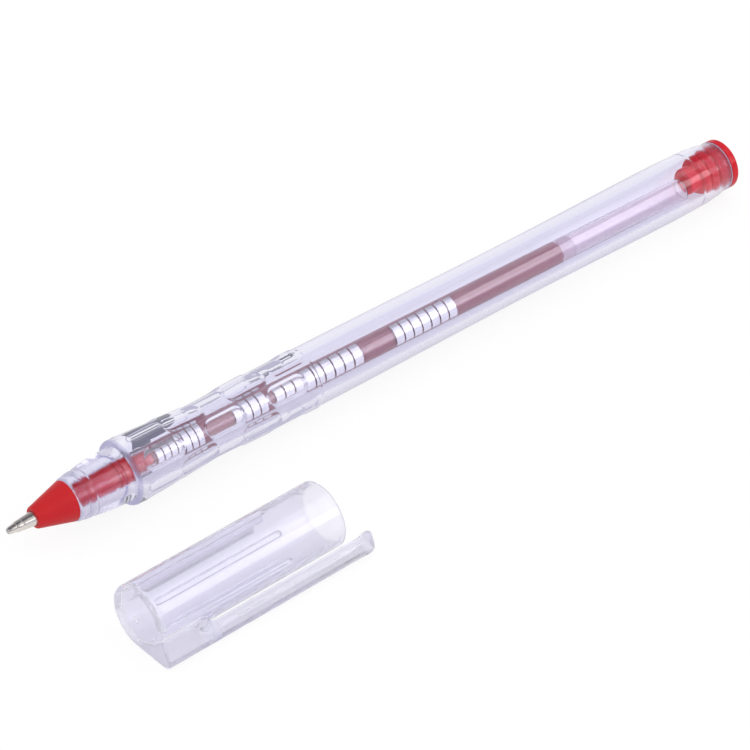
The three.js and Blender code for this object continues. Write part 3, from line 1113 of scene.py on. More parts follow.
    def dimples(self) -> list[Dimple]:
        """Every dimple and slot of the grip."""
        found = []
        collar = self.shop.layout.collar_face
        oval = (self.dimple_length, self.dimple_width, self.dimple_corner)
        oval += (self.dimple_depth, self.dimple_slope)
        slot = (self.slot_length, self.slot_width, self.slot_corner)
        slot += (self.slot_depth, self.slot_slope)
        for row in range(self.rows):
            turn = math.radians(self.roll_deg) + row * TURN / self.rows
            staggered = row % 2 == 0
            first = collar + (self.staggered_dimple if staggered else self.first_dimple)
            for copy in range(2 if staggered else 3):
                found.append(Dimple(first + copy * self.dimple_pitch, turn, *oval))
            if staggered:
                found.append(Dimple(collar + self.slot_middle, turn, *slot))
        return found

    def relief(self, x: np.ndarray, turn: np.ndarray, radius: np.ndarray) -> np.ndarray:
        """How far the surface stands out from the smooth profile, or in, at each point.

        Args:
            x: places along the pen.
            turn: angles from the top towards -Y.
            radius: the smooth profile's radius there.

        Returns:
            The change of radius.
        """
        change = np.zeros_like(x)
        for dimple in self.dimples():
            off = (turn - dimple.turn + math.pi) % TURN - math.pi
            across = np.abs(off) * radius - (dimple.width / 2 - dimple.corner)
            along = np.abs(x - dimple.middle) - (dimple.length / 2 - dimple.corner)
            gap = np.hypot(np.maximum(across, 0), np.maximum(along, 0)) - dimple.corner
            share = np.clip(1 - gap / dimple.slope, 0, 1)
            share = share * share * (3 - 2 * share)
            floor = (radius - dimple.depth) / np.maximum(np.cos(off), 0.5)
            change = np.minimum(change, share * np.minimum(floor - radius, 0))
        nose = self.shop.layout.nose_front
        for ring, place in enumerate(self.dash_rings):
            phase = (turn / TURN * self.dashes_per_ring + 0.5 * (ring % 2) + self.dash_turn) % 1
            length = np.clip((self.dash_half_share - np.abs(phase - 0.5)) / self.dash_fade, 0, 1)
            width = np.clip(1 - np.abs(x - nose - place) / (self.dash_width / 2), 0, 1)
            change += self.dash_height * length * width * width * (3 - 2 * width)
        return change

    def build(self) -> None:
        """Builds the barrel as one closed mesh."""
        outer, inner = self.outer_line(), self.bore_line()
        line = np.array([*outer, *inner])
        turn = np.arange(self.sides) * TURN / self.sides
        x = np.repeat(line[:, 0], self.sides)
        radius = np.repeat(line[:, 1], self.sides)
        angle = np.tile(turn, len(line))
        outside = np.repeat(np.arange(len(line)) < len(outer), self.sides)
        radius = radius + np.where(outside, self.relief(x, angle, radius), 0)
        points = np.stack([x, -radius * np.sin(angle), radius * np.cos(angle)], axis=1)
        row, column = np.meshgrid(np.arange(len(line)), np.arange(self.sides), indexing="ij")
        next_row, next_column = (row + 1) % len(line), (column + 1) % self.sides
        faces = np.stack(
            [
                row * self.sides + column,
                row * self.sides + next_column,
                next_row * self.sides + next_column,
                next_row * self.sides + column,
            ],
            axis=-1,
        ).reshape(-1, 4)
        mesh = mesh_from("barrel_shell", points, faces)
        # Painted shade: the collar's face takes the darker lavender matt colour with a rougher
        # finish; the nose and the tail's end take part of the same darker colour and roughness.
        lay, front = self.shop.layout, self.collar_matt_shade_front
        behind = x - lay.collar_face
        matt_shade = 1 - np.clip((behind - self.collar_matt_shade_full) / self.collar_matt_shade_fade, 0, 1)
        rim = (behind > front) & (radius > self.collar_matt_shade_radius) & outside
        matt = np.where(rim, matt_shade, 0.0)
        matt = np.where(behind < front, self.nose_matt_share, matt)
        matt = np.where(x > lay.barrel_end - self.tail_matt_length, self.tail_matt_share, matt)
        shop, finish = self.shop, Finishes.CLEAR
        stands_for, sharp = ["barrel"], self.sharp_deg
        shop.piece(mesh, shop.pen, finish, Body.BARREL, Slot.CLEAR, stands_for, sharp, matt)


@dataclass
class TailPlug:
    """The red plug: flange, press rings and a small spigot."""

    shop: Workshop
    sides: int = 128
    flange: float = 8.35
    flange_gap: float = 0.05
    flange_edge: float = 0.3
    face: float = 7.85
    ring: float = 6.6
    groove: float = 5.4
    spigot: float = 4.4
    hollow: float = 2.6
    hollow_depth: float = 0.9
    hollow_taper: float = 0.4
    first_lead: float = 0.9
    ring_lead: float = 0.5
    lead_share: float = 0.45
    ring_lengths: tuple[float, ...] = (1.0, 1.4, 2.1)
    groove_length: float = 0.5
    spigot_length: float = 2.2
    dish_diameter: float = 5.4
    dish_depth: float = 0.12
    dish_taper: float = 0.6
    matt_margin: float = 0.02

    def build(self) -> None:
        """Builds the plug as one turned form."""
        lay = self.shop.layout
        flange_front = lay.barrel_end + self.flange_gap
        end = lay.barrel_end + lay.plug_flange
        rings = sum(self.ring_lengths) + self.groove_length * (len(self.ring_lengths) - 1)
        x = flange_front - rings
        corners: list[tuple[float, ...]] = [
            (x - self.spigot_length + self.hollow_depth, 0.0),
            (x - self.spigot_length + self.hollow_depth, self.hollow - self.hollow_taper, 0.2),
            (x - self.spigot_length, self.hollow, 0.15),
            (x - self.spigot_length, self.spigot, 0.3),
            (x, self.spigot, 0.15),
        ]
        for number, length in enumerate(self.ring_lengths):
            lead = self.ring_lead if number else self.first_lead
            corners += [
                (x, self.ring - lead, 0.12),
                (x + self.lead_share * length, self.ring, 0.25),
                (x + length, self.ring, 0.15),
            ]
            x += length
            if number < len(self.ring_lengths) - 1:
                corners += [(x, self.groove), (x + self.groove_length, self.groove)]
                x += self.groove_length
        corners += [
            (flange_front, self.flange, 0.08),
            (end - self.flange_edge, self.flange, 0.15),
            (end, self.face, 0.12),
            (end, self.dish_diameter, 0.2),
            (end - self.dish_depth, self.dish_diameter - self.dish_taper, 0.2),
            (end - self.dish_depth, 0.0),
        ]
        line = softened(halved(corners), 0.08)
        shop, finish = self.shop, Finishes.RED_CLEAR
        mesh = shop.turned.mesh("tail_plug_red", line, shop.material(finish), self.sides)
        # Painted light: the plug inside the barrel keeps the finish's brighter red, the flange
        # outside takes the darker matt red.
        matt_from = flange_front - self.matt_margin
        matt = np.array([float(vertex.co.x > matt_from) for vertex in mesh.vertices])
        stands_for = ["tail_plug"]
        shop.piece(mesh, shop.pen, finish, Body.BARREL, Slot.RED_CLEAR, stands_for, matt=matt)


@dataclass
class Nose:
    """The red cone with its spigot, the turned metal point and the writing ball.

    The point's steps and the ball's seat are places from the pen's tip and diameters, some with a
    rounding of their own.
    """

    shop: Workshop
    cone_sides: int = 128
    point_sides: int = 96
    ball_sides: int = 64
    ball_rings: int = 33
    cone_front: float = 3.4
    cone_base: float = 6.7
    base_gap: float = 0.05
    base_taper: float = 0.02
    outside_margin: float = 0.04
    spigot: float = 4.1
    spigot_tail: float = 3.9
    spigot_length: float = 10.4
    groove_depth: float = 0.5
    grooves: tuple[float, ...] = (7.75, 8.75, 9.75)
    groove_width: float = 0.4
    groove_taper: float = 0.03
    nipple: float = 2.7
    channel: float = 1.6
    shank: float = 2.3
    shank_length: float = 3.8
    shank_clearance: float = 0.1
    shank_end_gap: float = 0.05
    point_sharp_deg: float = 30.0
    point_bore: float = 0.5
    point_steps: tuple[tuple[float, ...], ...] = (
        (0.2, 0.77),
        (0.2, 0.98, 0.05),
        (0.32, 1.06, 0.06),
        (0.7, 1.2, 0.1),
        (1.46, 1.42, 0.05),
        (1.52, 1.42, 0.03),
        (1.62, 1.64, 0.05),
        (2.5, 1.84, 0.1),
        (2.56, 1.78, 0.03),
        (2.66, 1.78, 0.03),
        (2.72, 1.88, 0.05),
        (3.9, 2.1, 0.2),
    )
    ball_seat: tuple[tuple[float, float], ...] = (
        (1.0, 0.5),
        (0.83, 0.5),
        (0.4, 0.86),
        (0.23, 0.86),
        (0.2, 0.77),
    )

    def cone_line(self) -> Profile:
        """The cone's closed profile, out over the spigot and back through the channel."""
        lay = self.shop.layout
        front, base = lay.point_reach, lay.nose_front - self.base_gap
        nipple_end = lay.tube_front + lay.nipple_length
        socket, bore = self.shank_length + self.shank_end_gap, self.shank + self.shank_clearance
        corners: list[tuple[float, ...]] = [
            (front, bore),
            (front, self.cone_front, 0.22),
            (base - self.base_taper, self.cone_base, 0.2),
            (base, self.spigot, 0.12),
        ]
        for place in self.grooves:
            start = lay.nose_front + place
            behind = self.spigot_tail if place == self.grooves[-1] else self.spigot
            corners += [
                (start, self.spigot),
                (start + self.groove_taper, self.spigot - self.groove_depth),
                (start + self.groove_width, self.spigot - self.groove_depth),
                (start + self.groove_width + self.groove_taper, behind),
            ]
        corners += [
            (lay.nose_front + self.spigot_length, self.spigot_tail, 0.15),
            (lay.nose_front + self.spigot_length, self.nipple),
            (nipple_end, self.nipple, 0.15),
            (nipple_end, self.channel),
            (front + socket, self.channel),
            (front + socket, bore),
            (front, bore),
        ]
        return refined(softened(halved(corners), 0.05), 1.5)

    def point_line(self) -> Profile:
        """The metal point's closed profile, from its rolled rim round the shank and back."""
        reach = self.shop.layout.point_reach
        corners: list[Sequence[float]] = [
            *self.point_steps,
            (reach, self.shank, 0.1),
            (reach + self.shank_length, self.shank),
            (reach + self.shank_length, self.point_bore),
            *self.ball_seat,
        ]
        return softened(halved(corners), 0.02, 3)

    def build(self) -> None:
        """Builds the cone, the point and the ball."""
        shop, turned = self.shop, self.shop.turned
        red, metal, polished = Finishes.RED, Finishes.METAL, Finishes.BALL
        line = self.cone_line()
        cone = turned.mesh("nose_cone_red", line, shop.material(red), self.cone_sides)
        along = np.array([vertex.co.x for vertex in cone.vertices])
        # Painted light: the spigot (matt 0) keeps the finish's brighter red, the cone outside (matt
        # 1) takes the plastic's own darker red.
        matt = np.where(along < shop.layout.nose_front - self.outside_margin, 1.0, 0.0)
        shop.piece(cone, shop.pen, red, Body.REFILL, Slot.RED, ["nose_cone"], matt=matt)
        line, sharp = self.point_line(), self.point_sharp_deg
        point = turned.mesh("writing_point", line, shop.material(metal), self.point_sides)
        shop.piece(point, shop.pen, metal, Body.REFILL, Slot.METAL, ["point_body"], sharp)
        radius = shop.layout.ball_diameter / 2
        angles = np.linspace(0, math.pi, self.ball_rings)
        arc = [(radius - radius * math.cos(a), radius * math.sin(a)) for a in angles]
        ball = turned.mesh("ball_polished", arc, shop.material(polished), self.ball_sides)
        shop.piece(ball, shop.pen, polished, Body.BALL, Slot.BALL, ["writing_ball"])


class FoilBars:
    """Lays plain foil bars round a tube with a Geometry Nodes tree."""

    lift = 0.004

    def __init__(self) -> None:
        """Builds the tree once."""
        self.tree = self.build()

    def build(self) -> bpy.types.NodeTree:
        """Builds the tree: a thin block bent round the tube at each point, with its own length."""
        inputs = {
            "Geometry": ("NodeSocketGeometry", None),
            "Tube Radius": ("NodeSocketFloat", 1.95),
            "Arc": ("NodeSocketFloat", 3.6),
            "Thickness": ("NodeSocketFloat", 0.02),
            "Material": ("NodeSocketMaterial", None),
        }
        outputs = {"Geometry": "NodeSocketGeometry"}
        book, given, out = new_group("foil_bars", inputs, outputs, "GeometryNodeTree")
        radius = given.outputs["Tube Radius"]
        size = book.add(
            "ShaderNodeCombineXYZ", {0: 1.0, 1: given.outputs["Arc"], 2: given.outputs["Thickness"]}
        )
        block = book.add(
            "GeometryNodeMeshCube",
            {"Size": size.outputs[0], "Vertices X": 5, "Vertices Y": 33, "Vertices Z": 2},
        )
        position = book.add("GeometryNodeInputPosition").outputs[0]
        here = book.add("ShaderNodeSeparateXYZ", {0: position})
        angle = book.math("DIVIDE", here.outputs[1], radius)
        half = book.math("MULTIPLY", given.outputs["Thickness"], 0.5)
        reach = book.math("ADD", book.math("ADD", radius, half), here.outputs[2])
        bent = book.add(
            "ShaderNodeCombineXYZ",
            {
                0: here.outputs[0],
                1: book.math("MULTIPLY", reach, book.math("SINE", angle)),
                2: book.math("MULTIPLY", reach, book.math("COSINE", angle)),
            },
        )
        shaped = book.add(
            "GeometryNodeSetPosition", {"Geometry": block.outputs[0], "Position": bent.outputs[0]}
        )
        length = book.add("GeometryNodeInputNamedAttribute", {"Name": "bar_length"})
        turn = book.add("GeometryNodeInputNamedAttribute", {"Name": "bar_turn"})
        scale = book.add("ShaderNodeCombineXYZ", {0: length.outputs[0], 1: 1.0, 2: 1.0})
        roll = book.add("ShaderNodeCombineXYZ", {0: turn.outputs[0]})
        laid = book.add(
            "GeometryNodeInstanceOnPoints",
            {
                "Points": given.outputs["Geometry"],
                "Instance": shaped.outputs[0],
                "Rotation": roll.outputs[0],
                "Scale": scale.outputs[0],
            },
        )
        real = book.add("GeometryNodeRealizeInstances", {"Geometry": laid.outputs[0]})
        dressed = book.add(
            "GeometryNodeSetMaterial",
            {"Geometry": real.outputs[0], "Material": given.outputs["Material"]},
        )
        book.tree.links.new(dressed.outputs[0], out.inputs[0])
        return book.tree

    def mesh(
        self,
        bars: Sequence[tuple[float, float]],
        turn: float,
        radius: float,
        material: bpy.types.Material,
    ) -> bpy.types.Mesh:
        """Lays the bars.

        Args:
            bars: where each bar starts and ends along the tube.
            turn: the angle that their middles have about the tube.
            radius: the tube's radius.
            material: the finish.

        Returns:
            One mesh of all the bars, in mm.
        """
        points = bpy.data.meshes.new("foil_points")
        points.from_pydata([((a + b) / 2, 0.0, 0.0) for a, b in bars], [], [])
        lengths = points.attributes.new("bar_length", "FLOAT", "POINT")
        lengths.data.foreach_set("value", [b - a for a, b in bars])
        turns = points.attributes.new("bar_turn", "FLOAT", "POINT")
        turns.data.foreach_set("value", [turn] * len(bars))
        values = {"Tube Radius": radius + self.lift, "Material": material}
        return evaluated("refill_foil", points, self.tree, values)


@dataclass
class Refill:
    """The refill tube with its ink, the follower behind it and the plain foil bars on it.

    Each edge of a hollow or a nose is its distance from that end and its diameter. Each group of
    foil bars is where it starts and ends along the tube, a bar's width, and the gap to the next.
    """

    shop: Workshop
    tube: float = 3.9
    bore: float = 3.0
    mouth_flare: float = 0.4
    ink_gap: float = 0.15
    ink_length: float = 81.1
    follower_length: float = 2.7
    ink_stem: float = 4.15
    ink_stem_width: float = 1.3
    ink_hollow: float = 0.3
    ink_hollow_edge: tuple[float, float] = (0.25, 1.4)
    follower_gap: float = 0.05
    follower_nose: float = 0.25
    follower_nose_edge: tuple[float, float] = (0.2, 1.4)
    follower_hollow: float = 0.45
    follower_hollow_edge: tuple[float, float] = (0.35, 1.5)
    wetting: float = 0.04
    sides: int = 96
    sharp_deg: float = 60.0
    longest_piece: float = 10.0
    foil_turn_deg: float = 50.0
    bar_groups: tuple[tuple[float, float, float, float], ...] = (
        (26.2, 35.4, 1.05, 0.22),
        (41.2, 48.2, 1.3, 0.25),
        (48.9, 66.4, 1.6, 0.3),
        (72.4, 85.7, 1.5, 0.28),
    )

    def tube_line(self) -> Profile:
        """The tube's closed profile, from its flared mouth over the outside and back."""
        start, end = self.shop.layout.tube_front, self.shop.layout.tube_end
        corners = [
            (start, self.bore + self.mouth_flare),
            (start, self.tube, 0.12),
            (end, self.tube, 0.12),
            (end, self.bore, 0.12),
            (start, self.bore, 0.12),
            (start, self.bore + self.mouth_flare),
        ]
        return refined(softened(halved(corners), 0.1), self.longest_piece)

    def ink_line(self, front: float, end: float) -> Profile:
        """The ink's profile, with the thin stem in the nipple and a hollow rear face.

        Args:
            front: where the full width of the ink starts.
            end: where the ink ends at the tube's wall.

        Returns:
            The profile, as x and radius.
        """
        wet = self.bore + self.wetting
        edge, edge_width = self.ink_hollow_edge
        corners = [
            (front - self.ink_stem, 0.0),
            (front - self.ink_stem, self.ink_stem_width),
            (front, self.ink_stem_width),
            (front, wet, 0.2),
            (end, wet, 0.3),
            (end - edge, edge_width, 0.4),
            (end - self.ink_hollow, 0.0),
        ]
        return refined(softened(halved(corners), 0.1), self.longest_piece)

    def follower_line(self, front: float) -> Profile:
        """The follower's profile, which starts in the ink's hollow face."""
        wet, back = self.bore + self.wetting, front + self.follower_length
        nose, nose_width = self.follower_nose_edge
        edge, edge_width = self.follower_hollow_edge
        corners = [
            (front - self.follower_nose, 0.0),
            (front - nose, nose_width, 0.4),
            (front, wet, 0.2),
            (back, wet, 0.3),
            (back - edge, edge_width, 0.4),
            (back - self.follower_hollow, 0.0),
        ]
        return softened(halved(corners), 0.1)

    def bars(self) -> list[tuple[float, float]]:
        """Where each foil bar starts and ends along the tube."""
        found = []
        for start, end, width, gap in self.bar_groups:
            for place in np.arange(start, end - width + 0.01, width + gap):
                found.append((float(place), float(place) + width))
        return found

    def build(self) -> None:
        """Builds the tube, the ink, the follower and the foil."""
        shop, place, sharp = self.shop, self.shop.refill, self.sharp_deg
        clear, ink, grease, foil = Finishes.TUBE, Finishes.INK, Finishes.FOLLOWER, Finishes.FOIL
        mesh = self.turned_mesh("refill_tube_clear", self.tube_line(), clear)
        shop.piece(mesh, place, clear, Body.REFILL, Slot.TUBE, ["refill_tube"])
        ink_front = shop.layout.tube_front + shop.layout.nipple_length + self.ink_gap
        ink_end = ink_front + self.ink_length
        mesh = self.turned_mesh("ink_red", self.ink_line(ink_front, ink_end), ink)
        shop.piece(mesh, place, ink, Body.REFILL, Slot.INK, ["ink_column"], sharp)
        line = self.follower_line(ink_end + self.follower_gap)
        mesh = self.turned_mesh("ink_follower_grease", line, grease)
        shop.piece(mesh, place, grease, Body.REFILL, Slot.FOLLOWER, ["ink_follower"], sharp)
        turn = math.radians(self.foil_turn_deg)
        mesh = FoilBars().mesh(self.bars(), turn, self.tube / 2, shop.material(foil))
        shop.piece(mesh, place, foil, Body.REFILL, Slot.METAL)

    def turned_mesh(self, name: str, line: Profile, finish: Finish) -> bpy.types.Mesh:
        """Turns one of the refill's profiles."""
        return self.shop.turned.mesh(name, line, self.shop.material(finish), self.sides)


@dataclass
class Cap:
    """The clear cap: a ribbed round body with a drop-shaped end that runs out into the clip.

    Roundings are the distance over which two faces blend. The margins are the room searched for
    the surface in front of the closed end, behind the clip's tip and beside the cap.
    """

    shop: Workshop
    length: float = 35.0
    end_wall: float = 1.2
    end_rounding: float = 0.5
    mouth_rounding: float = 0.3
    bore_end_rounding: float = 0.5
    wall_rounding: float = 0.2
    mouth_flare: float = 0.12
    mouth_flare_length: float = 0.3
    bore_radius: float = 4.55
    bead_height: float = 0.08
    bead_spread: float = 0.3
    bead_from_mouth: float = 2.9
    ribs: int = 6
    rib_width: float = 0.8
    rib_reach: float = 3.5
    rib_rounding: float = 0.3
    rib_foot_rounding: float = 0.4
    rib_end: float = 25.0
    rib_end_rounding: float = 0.6
    rib_run_in: float = 1.2
    rib_run_in_fade: float = 0.9
    clip_thickness: float = 2.6
    clip_end_rounding: float = 1.2
    clip_root_rounding: float = 0.4
    web_length: float = 8.4
    overrun: float = 4.2
    bump_height: float = 0.25
    bump_spread: float = 1.1
    bump_from_end: float = 1.4
    gate_outside: float = 0.55
    gate_radius: float = 0.85
    gate_rounding: float = 0.12
    frosted_tip: float = 2.8
    frosted_fade: float = 0.5
    frosted_share: float = 0.6
    slot_face: float = -4.9
    slot_haze: float = 1.2
    slot_haze_middle: float = 0.5
    slot_haze_share: float = 1.2
    sharp_deg: float = 75.0
    margins: tuple[float, float, float] = (0.7, 0.6, 0.5)
    cell: tuple[float, float, float] = (0.3, 0.17, 0.17)

    def __post_init__(self) -> None:
        """Takes the outer sizes from the layout, which also lays the cap down."""
        lay = self.shop.layout
        self.radius = lay.cap_diameter / 2
        self.clip_reach = lay.clip_reach
        self.clip_radius = lay.clip_end_radius
        self.full = self.length + self.overrun

    def drop(self, y: np.ndarray, z: np.ndarray) -> np.ndarray:
        """The drop-shaped section, negative inside."""
        reach = self.clip_reach - self.clip_radius
        out, side = -y, np.abs(z)
        lean = (self.radius - self.clip_radius) / reach
        rise = math.sqrt(1 - lean * lean)
        place = -lean * side + rise * out
        flank = rise * side + lean * out - self.radius
        near = np.hypot(side, out) - self.radius
        far = np.hypot(side, out - reach) - self.clip_radius
        return np.where(place < 0, near, np.where(place > rise * reach, far, flank))

    def hollow(self, x: np.ndarray, y: np.ndarray, z: np.ndarray) -> np.ndarray:
        """The space inside the cap, with its bead and ribs left out of it, negative inside.

        Args:
            x: places from the closed end.
            y: places across, away from the clip.
            z: places across, to the side.

        Returns:
            The field at each point.
        """
        from_bead = x - self.length + self.bead_from_mouth
        bead = self.bead_height * np.exp(-((from_bead / self.bead_spread) ** 2))
        opened = (x - self.length + self.mouth_flare_length) / self.mouth_flare_length
        flare = self.mouth_flare * np.clip(opened, 0, 1)
        bore = np.hypot(y, z) - self.bore_radius + bead - flare
        space = smax(bore, self.end_wall - x, self.bore_end_rounding)
        run_in = self.rib_run_in * np.exp((self.end_wall - x) / self.rib_run_in_fade)
        for rib in range(self.ribs):
            angle = rib * TURN / self.ribs
            out = -y * math.sin(angle) + z * math.cos(angle)
            side = np.abs(y * math.cos(angle) + z * math.sin(angle)) - self.rib_width / 2
            bar = smax(side, self.rib_reach + run_in - out, self.rib_rounding)
            bar = smax(bar, x - self.rib_end, self.rib_end_rounding)
            space = smax(space, -bar, self.rib_foot_rounding)
        return space

    def form(self, points: np.ndarray) -> np.ndarray:
        """The whole cap's field, negative inside the plastic.

        Args:
            points: rows of x, y, z in mm, in the cap's own frame.

        Returns:
            The field at each point.
        """
        x, y, z = points.T
        body = smax(np.hypot(y, z) - self.radius, -x, self.end_rounding)
        body = smax(body, x - self.length, self.mouth_rounding)
        from_bump = x - self.full + self.bump_from_end
        bump = self.bump_height * np.exp(-((from_bump / self.bump_spread) ** 2))
        under = y + self.clip_reach - self.clip_thickness - bump
        slot = smax(self.web_length - x, -under, self.clip_end_rounding)
        clip = smax(self.drop(y, z), -x, self.end_rounding)
        clip = smax(clip, x - self.full, self.clip_end_rounding)
        clip = smax(clip, -slot, self.clip_root_rounding)
        solid = smax(np.minimum(body, clip), -self.hollow(x, y, z), self.wall_rounding)
        gate = np.sqrt((x + self.gate_outside) ** 2 + y * y + z * z) - self.gate_radius
        return smax(solid, -gate, self.gate_rounding)

    def build(self) -> None:
        """Builds the cap as one closed mesh."""
        before, after, beside = self.margins
        low = (-before, -self.clip_reach - beside, -self.radius - beside)
        high = (self.full + after, self.radius + beside, self.radius + beside)
        mesh = FieldMesher(self.form).mesh("cap_shell", low, high, self.cell)
        points = np.empty(len(mesh.vertices) * 3, np.float32)
        mesh.vertices.foreach_get("co", points)
        x, y, _ = points.reshape(-1, 3).T
        from_slot = np.abs(x - self.web_length - self.slot_haze_middle) / self.slot_haze
        near_slot = np.clip(self.slot_haze_share - from_slot, 0, 1) * (y < self.slot_face)
        tip = np.clip((x - self.full + self.frosted_tip) / self.frosted_fade, 0, 1)
        matt = np.maximum(near_slot, tip * self.frosted_share)
        shop, finish = self.shop, Finishes.CAP_CLEAR
        stands_for, sharp = ["cap"], self.sharp_deg
        shop.piece(mesh, shop.cap, finish, Body.CAP, Slot.CLEAR, stands_for, sharp, matt)


# The studio


@dataclass(frozen=True)
class Softbox:
    """A white lamp that faces the pen: its place and size in metres, and its power in watts."""

    name: str
    place: tuple[float, float, float]
    size: tuple[float, float]
    power: float


@dataclass(frozen=True)
class StreakCard:
    """A small card behind the grip that paints a dark streak seen through the plastic: its reach
    along x and z, in metres.
    """

    name: str
    x: tuple[float, float]
    z: tuple[float, float]


@dataclass
class Studio:
    """The pale floor, the soft lights, the cards that paint dark streaks in the plastic, and the
    camera.

    The world's colours are named for the rays that meet them: seen_through, overhead and behind for
    those that come out of the plastic, mirrored, dark and skyline for reflections in the open, and
    ambient for the light that falls on dull surfaces. The camera itself sees white. Each band is
    where one of them fades into the next, as a height or a depth of the ray's way.
    """

    azimuth_deg: float = -39.822
    elevation_deg: float = 39.14
    camera_place: tuple[float, float, float] = (-0.339412, -0.390599, 0.427812)
    camera_reach: tuple[float, float] = (0.01, 20.0)
    focal_pixels: float = 4400.0
    frame_pixels: int = 750
    sensor_mm: float = 36.0
    seen_through: Colour = (0.97, 0.97, 0.99)
    overhead: Colour = (0.8, 0.8, 0.82)
    behind: Colour = (0.05, 0.05, 0.06)
    mirrored: Colour = (0.3, 0.3, 0.33)
    dark: Colour = (0.1, 0.1, 0.12)
    skyline: Colour = (0.66, 0.65, 0.7)
    skyline_height: float = 0.07
    skyline_band: tuple[float, float] = (0.05, 0.2)
    far_band: tuple[float, float] = (-0.1, 0.4)
    ceiling_band: tuple[float, float] = (0.72, 0.9)
    rear_band: tuple[float, float] = (-0.05, 0.3)
    above_band: tuple[float, float] = (0.35, 0.6)
    ambient: Colour = (0.92, 0.92, 0.93)
    floor_size: float = 6.0
    floor_drop: float = 0.00002
    floor_glow: float = 1.01
    floor_share: float = 0.14
    floor_share_through: float = 0.5
    floor_lit: float = 1.02
    floor_mirrored: float = 0.7
    paper: Colour = (0.8, 0.8, 0.8)
    painted_streak_colour: Colour = (0.2, 0.2, 0.23)
    card_y: float = 0.0245
    # Cards that paint dark streaks into the grip, seen only through the plastic
    cards: tuple[StreakCard, ...] = (
        StreakCard("painted_streak_low", (-0.0465, -0.0362), (0.0007, 0.0076)),
        StreakCard("painted_streak_high", (-0.0465, -0.0362), (0.0105, 0.0122)),
        StreakCard("painted_streak_rear", (-0.0205, -0.0115), (0.0052, 0.0072)),
    )
    lamps: tuple[Softbox, ...] = (
        Softbox("key_softbox", (0.5, -0.25, 0.85), (0.9, 0.4), 0.9),
        Softbox("strip_softbox", (0.447, -0.641, 0.443), (0.45, 0.36), 1.15),
        Softbox("fill_softbox", (-0.75, -0.2, 0.6), (0.35, 0.35), 0.5),
    )

    def camera(self) -> None:
        """Puts the camera where the picture was taken from."""
        data = bpy.data.cameras.new("camera")
        data.sensor_width = self.sensor_mm
        data.lens = self.sensor_mm * self.focal_pixels / self.frame_pixels
        data.clip_start, data.clip_end = self.camera_reach
        turn, rise = math.radians(self.azimuth_deg), math.radians(self.elevation_deg)
        back = np.array(
            [math.sin(turn) * math.cos(rise), -math.cos(turn) * math.cos(rise), math.sin(rise)]
        )
        right = np.array([math.cos(turn), math.sin(turn), 0.0])
        up = np.cross(back, right)
        place = Matrix(np.column_stack([right, up, back]).tolist()).to_4x4()
        place.translation = self.camera_place
        camera = placed("camera", data)
        camera.matrix_world = place
        bpy.context.scene.camera = camera

    def lamp(self, box: Softbox) -> None:
        """Adds one softbox, turned towards the origin."""
        data = bpy.data.lights.new(box.name, "AREA")
        data.shape = "RECTANGLE"
        data.size, data.size_y = box.size
        data.energy = box.power
        place = Matrix.Translation(box.place)
        way = -place.to_translation()
        lamp = placed(box.name, data)
        lamp.matrix_world = place @ way.to_track_quat("-Z", "Y").to_matrix().to_4x4()

    def world(self) -> None:
        """Gives a world that has its own colours for the camera, the plastic and reflections."""
        world = bpy.data.worlds.new("studio")
        world.use_nodes = True
        bpy.context.scene.world = world
        book = NodeBook(world.node_tree)
        rays = book.add("ShaderNodeLightPath").outputs
        way = book.add("ShaderNodeTexCoord").outputs["Generated"]
        _, back, up = book.add("ShaderNodeSeparateXYZ", {0: way}).outputs
        off_skyline = book.math("ABSOLUTE", book.math("SUBTRACT", up, self.skyline_height))
        low = book.ramp(off_skyline, *self.skyline_band, 1.0, 0.0)
        far = book.ramp(back, *self.far_band, 0.0, 1.0)
        ceiling = book.ramp(up, *self.ceiling_band, 0.0, 1.0)
        mirrored = book.mix(ceiling, (*self.mirrored, 1), (*self.dark, 1))
        mirrored = book.mix(book.math("MULTIPLY", low, far), mirrored, (*self.skyline, 1))
        lit = book.mix(rays["Is Glossy Ray"], (*self.ambient, 1), mirrored)
        rear = book.ramp(back, *self.rear_band, 0.0, 1.0)
        top = book.mix(rear, (*self.overhead, 1), (*self.behind, 1))
        above = book.ramp(up, *self.above_band, 0.0, 1.0)
        inside = book.mix(above, (*self.seen_through, 1), top)
        through = book.mix(rays["Is Transmission Ray"], lit, inside)
        colour = book.mix(rays["Is Camera Ray"], through, (1, 1, 1, 1))
        background = book.add("ShaderNodeBackground", {"Color": colour, "Strength": 1.0})
        book.add("ShaderNodeOutputWorld", {"Surface": background.outputs[0]})

    def stage(self, name: str, corners: list[tuple[float, ...]], made: bpy.types.Material) -> None:
        """Adds a flat piece of the set, which isn't part of the object.

        Args:
            name: its name.
            corners: its four corners, in metres.
            made: its material.
        """
        mesh = bpy.data.meshes.new(name)
        mesh.from_pydata(corners, [], [(0, 1, 2, 3)])
        mesh.materials.append(made)
        placed(name, mesh)

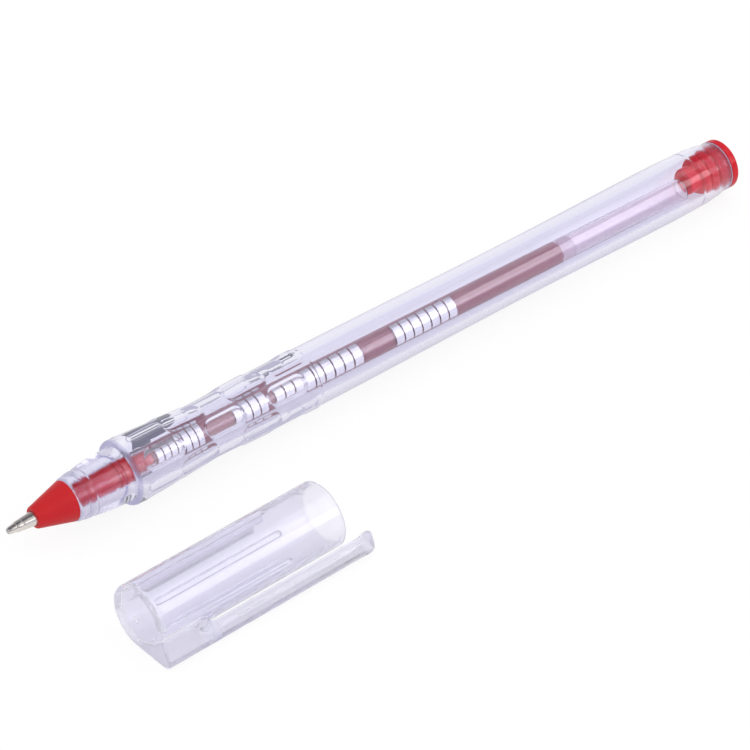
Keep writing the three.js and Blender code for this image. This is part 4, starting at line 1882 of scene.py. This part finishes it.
    def floor(self) -> None:
        """Lays a white floor that keeps a soft shadow and is dimmer in reflections in the open."""
        made, book = new_material("white_sweep")
        rays = book.add("ShaderNodeLightPath").outputs
        glossy, through = rays["Is Glossy Ray"], rays["Is Transmission Ray"]
        seen = book.math("MAXIMUM", rays["Is Camera Ray"], glossy)
        seen = book.math("MAXIMUM", seen, through)
        share = book.ramp(through, 0.0, 1.0, self.floor_share, self.floor_share_through)
        shaded = book.add("ShaderNodeBsdfDiffuse", {"Color": share})
        lit = book.math("SUBTRACT", self.floor_glow, book.math("MULTIPLY", share, self.floor_lit))
        outer = book.math("SUBTRACT", glossy, through)
        lit = book.math("MULTIPLY", lit, book.ramp(outer, 0.0, 1.0, 1.0, self.floor_mirrored))
        glow = book.add("ShaderNodeEmission", {"Color": (1, 1, 1, 1), "Strength": lit})
        white = book.add("ShaderNodeAddShader", {0: shaded.outputs[0], 1: glow.outputs[0]})
        paper = book.add("ShaderNodeBsdfDiffuse", {"Color": (*self.paper, 1)})
        surface = book.blend(seen, paper.outputs[0], white.outputs[0])
        book.add("ShaderNodeOutputMaterial", {"Surface": surface})
        half, z = self.floor_size / 2, -self.floor_drop
        corners = [(-half, -half, z), (half, -half, z), (half, half, z), (-half, half, z)]
        self.stage("floor", corners, made)

    def card(self, card: StreakCard) -> None:
        """Stands up one card that is clear to every ray but those coming out of the plastic, for
        which it paints a dark streak.
        """
        made, book = new_material(card.name)
        through = book.add("ShaderNodeLightPath").outputs["Is Transmission Ray"]
        # Painted dark streak: the card glows dark grey only for rays that come out of the plastic.
        painted_streak = book.add("ShaderNodeEmission", {"Color": (*self.painted_streak_colour, 1)})
        clear = book.add("ShaderNodeBsdfTransparent")
        surface = book.blend(through, clear.outputs[0], painted_streak.outputs[0])
        book.add("ShaderNodeOutputMaterial", {"Surface": surface})
        (x0, x1), (z0, z1), y = card.x, card.z, self.card_y
        self.stage(card.name, [(x0, y, z0), (x1, y, z0), (x1, y, z1), (x0, y, z1)], made)

    def build(self) -> None:
        """Sets the whole studio up."""
        bpy.context.scene.view_settings.view_transform = "Standard"
        self.camera()
        self.world()
        self.floor()
        for card in self.cards:
            self.card(card)
        for box in self.lamps:
            self.lamp(box)


def main() -> None:
    """Builds the studio, the pen and the cap in order."""
    logging.basicConfig(level=logging.INFO, format="%(name)s %(message)s")
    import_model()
    Studio().build()
    shop = Workshop(PenLayout())
    for part in (Barrel(shop), TailPlug(shop), Nose(shop), Refill(shop), Cap(shop)):
        log.info("building %s", type(part).__name__)
        part.build()


if __name__ == "__main__":
    main()
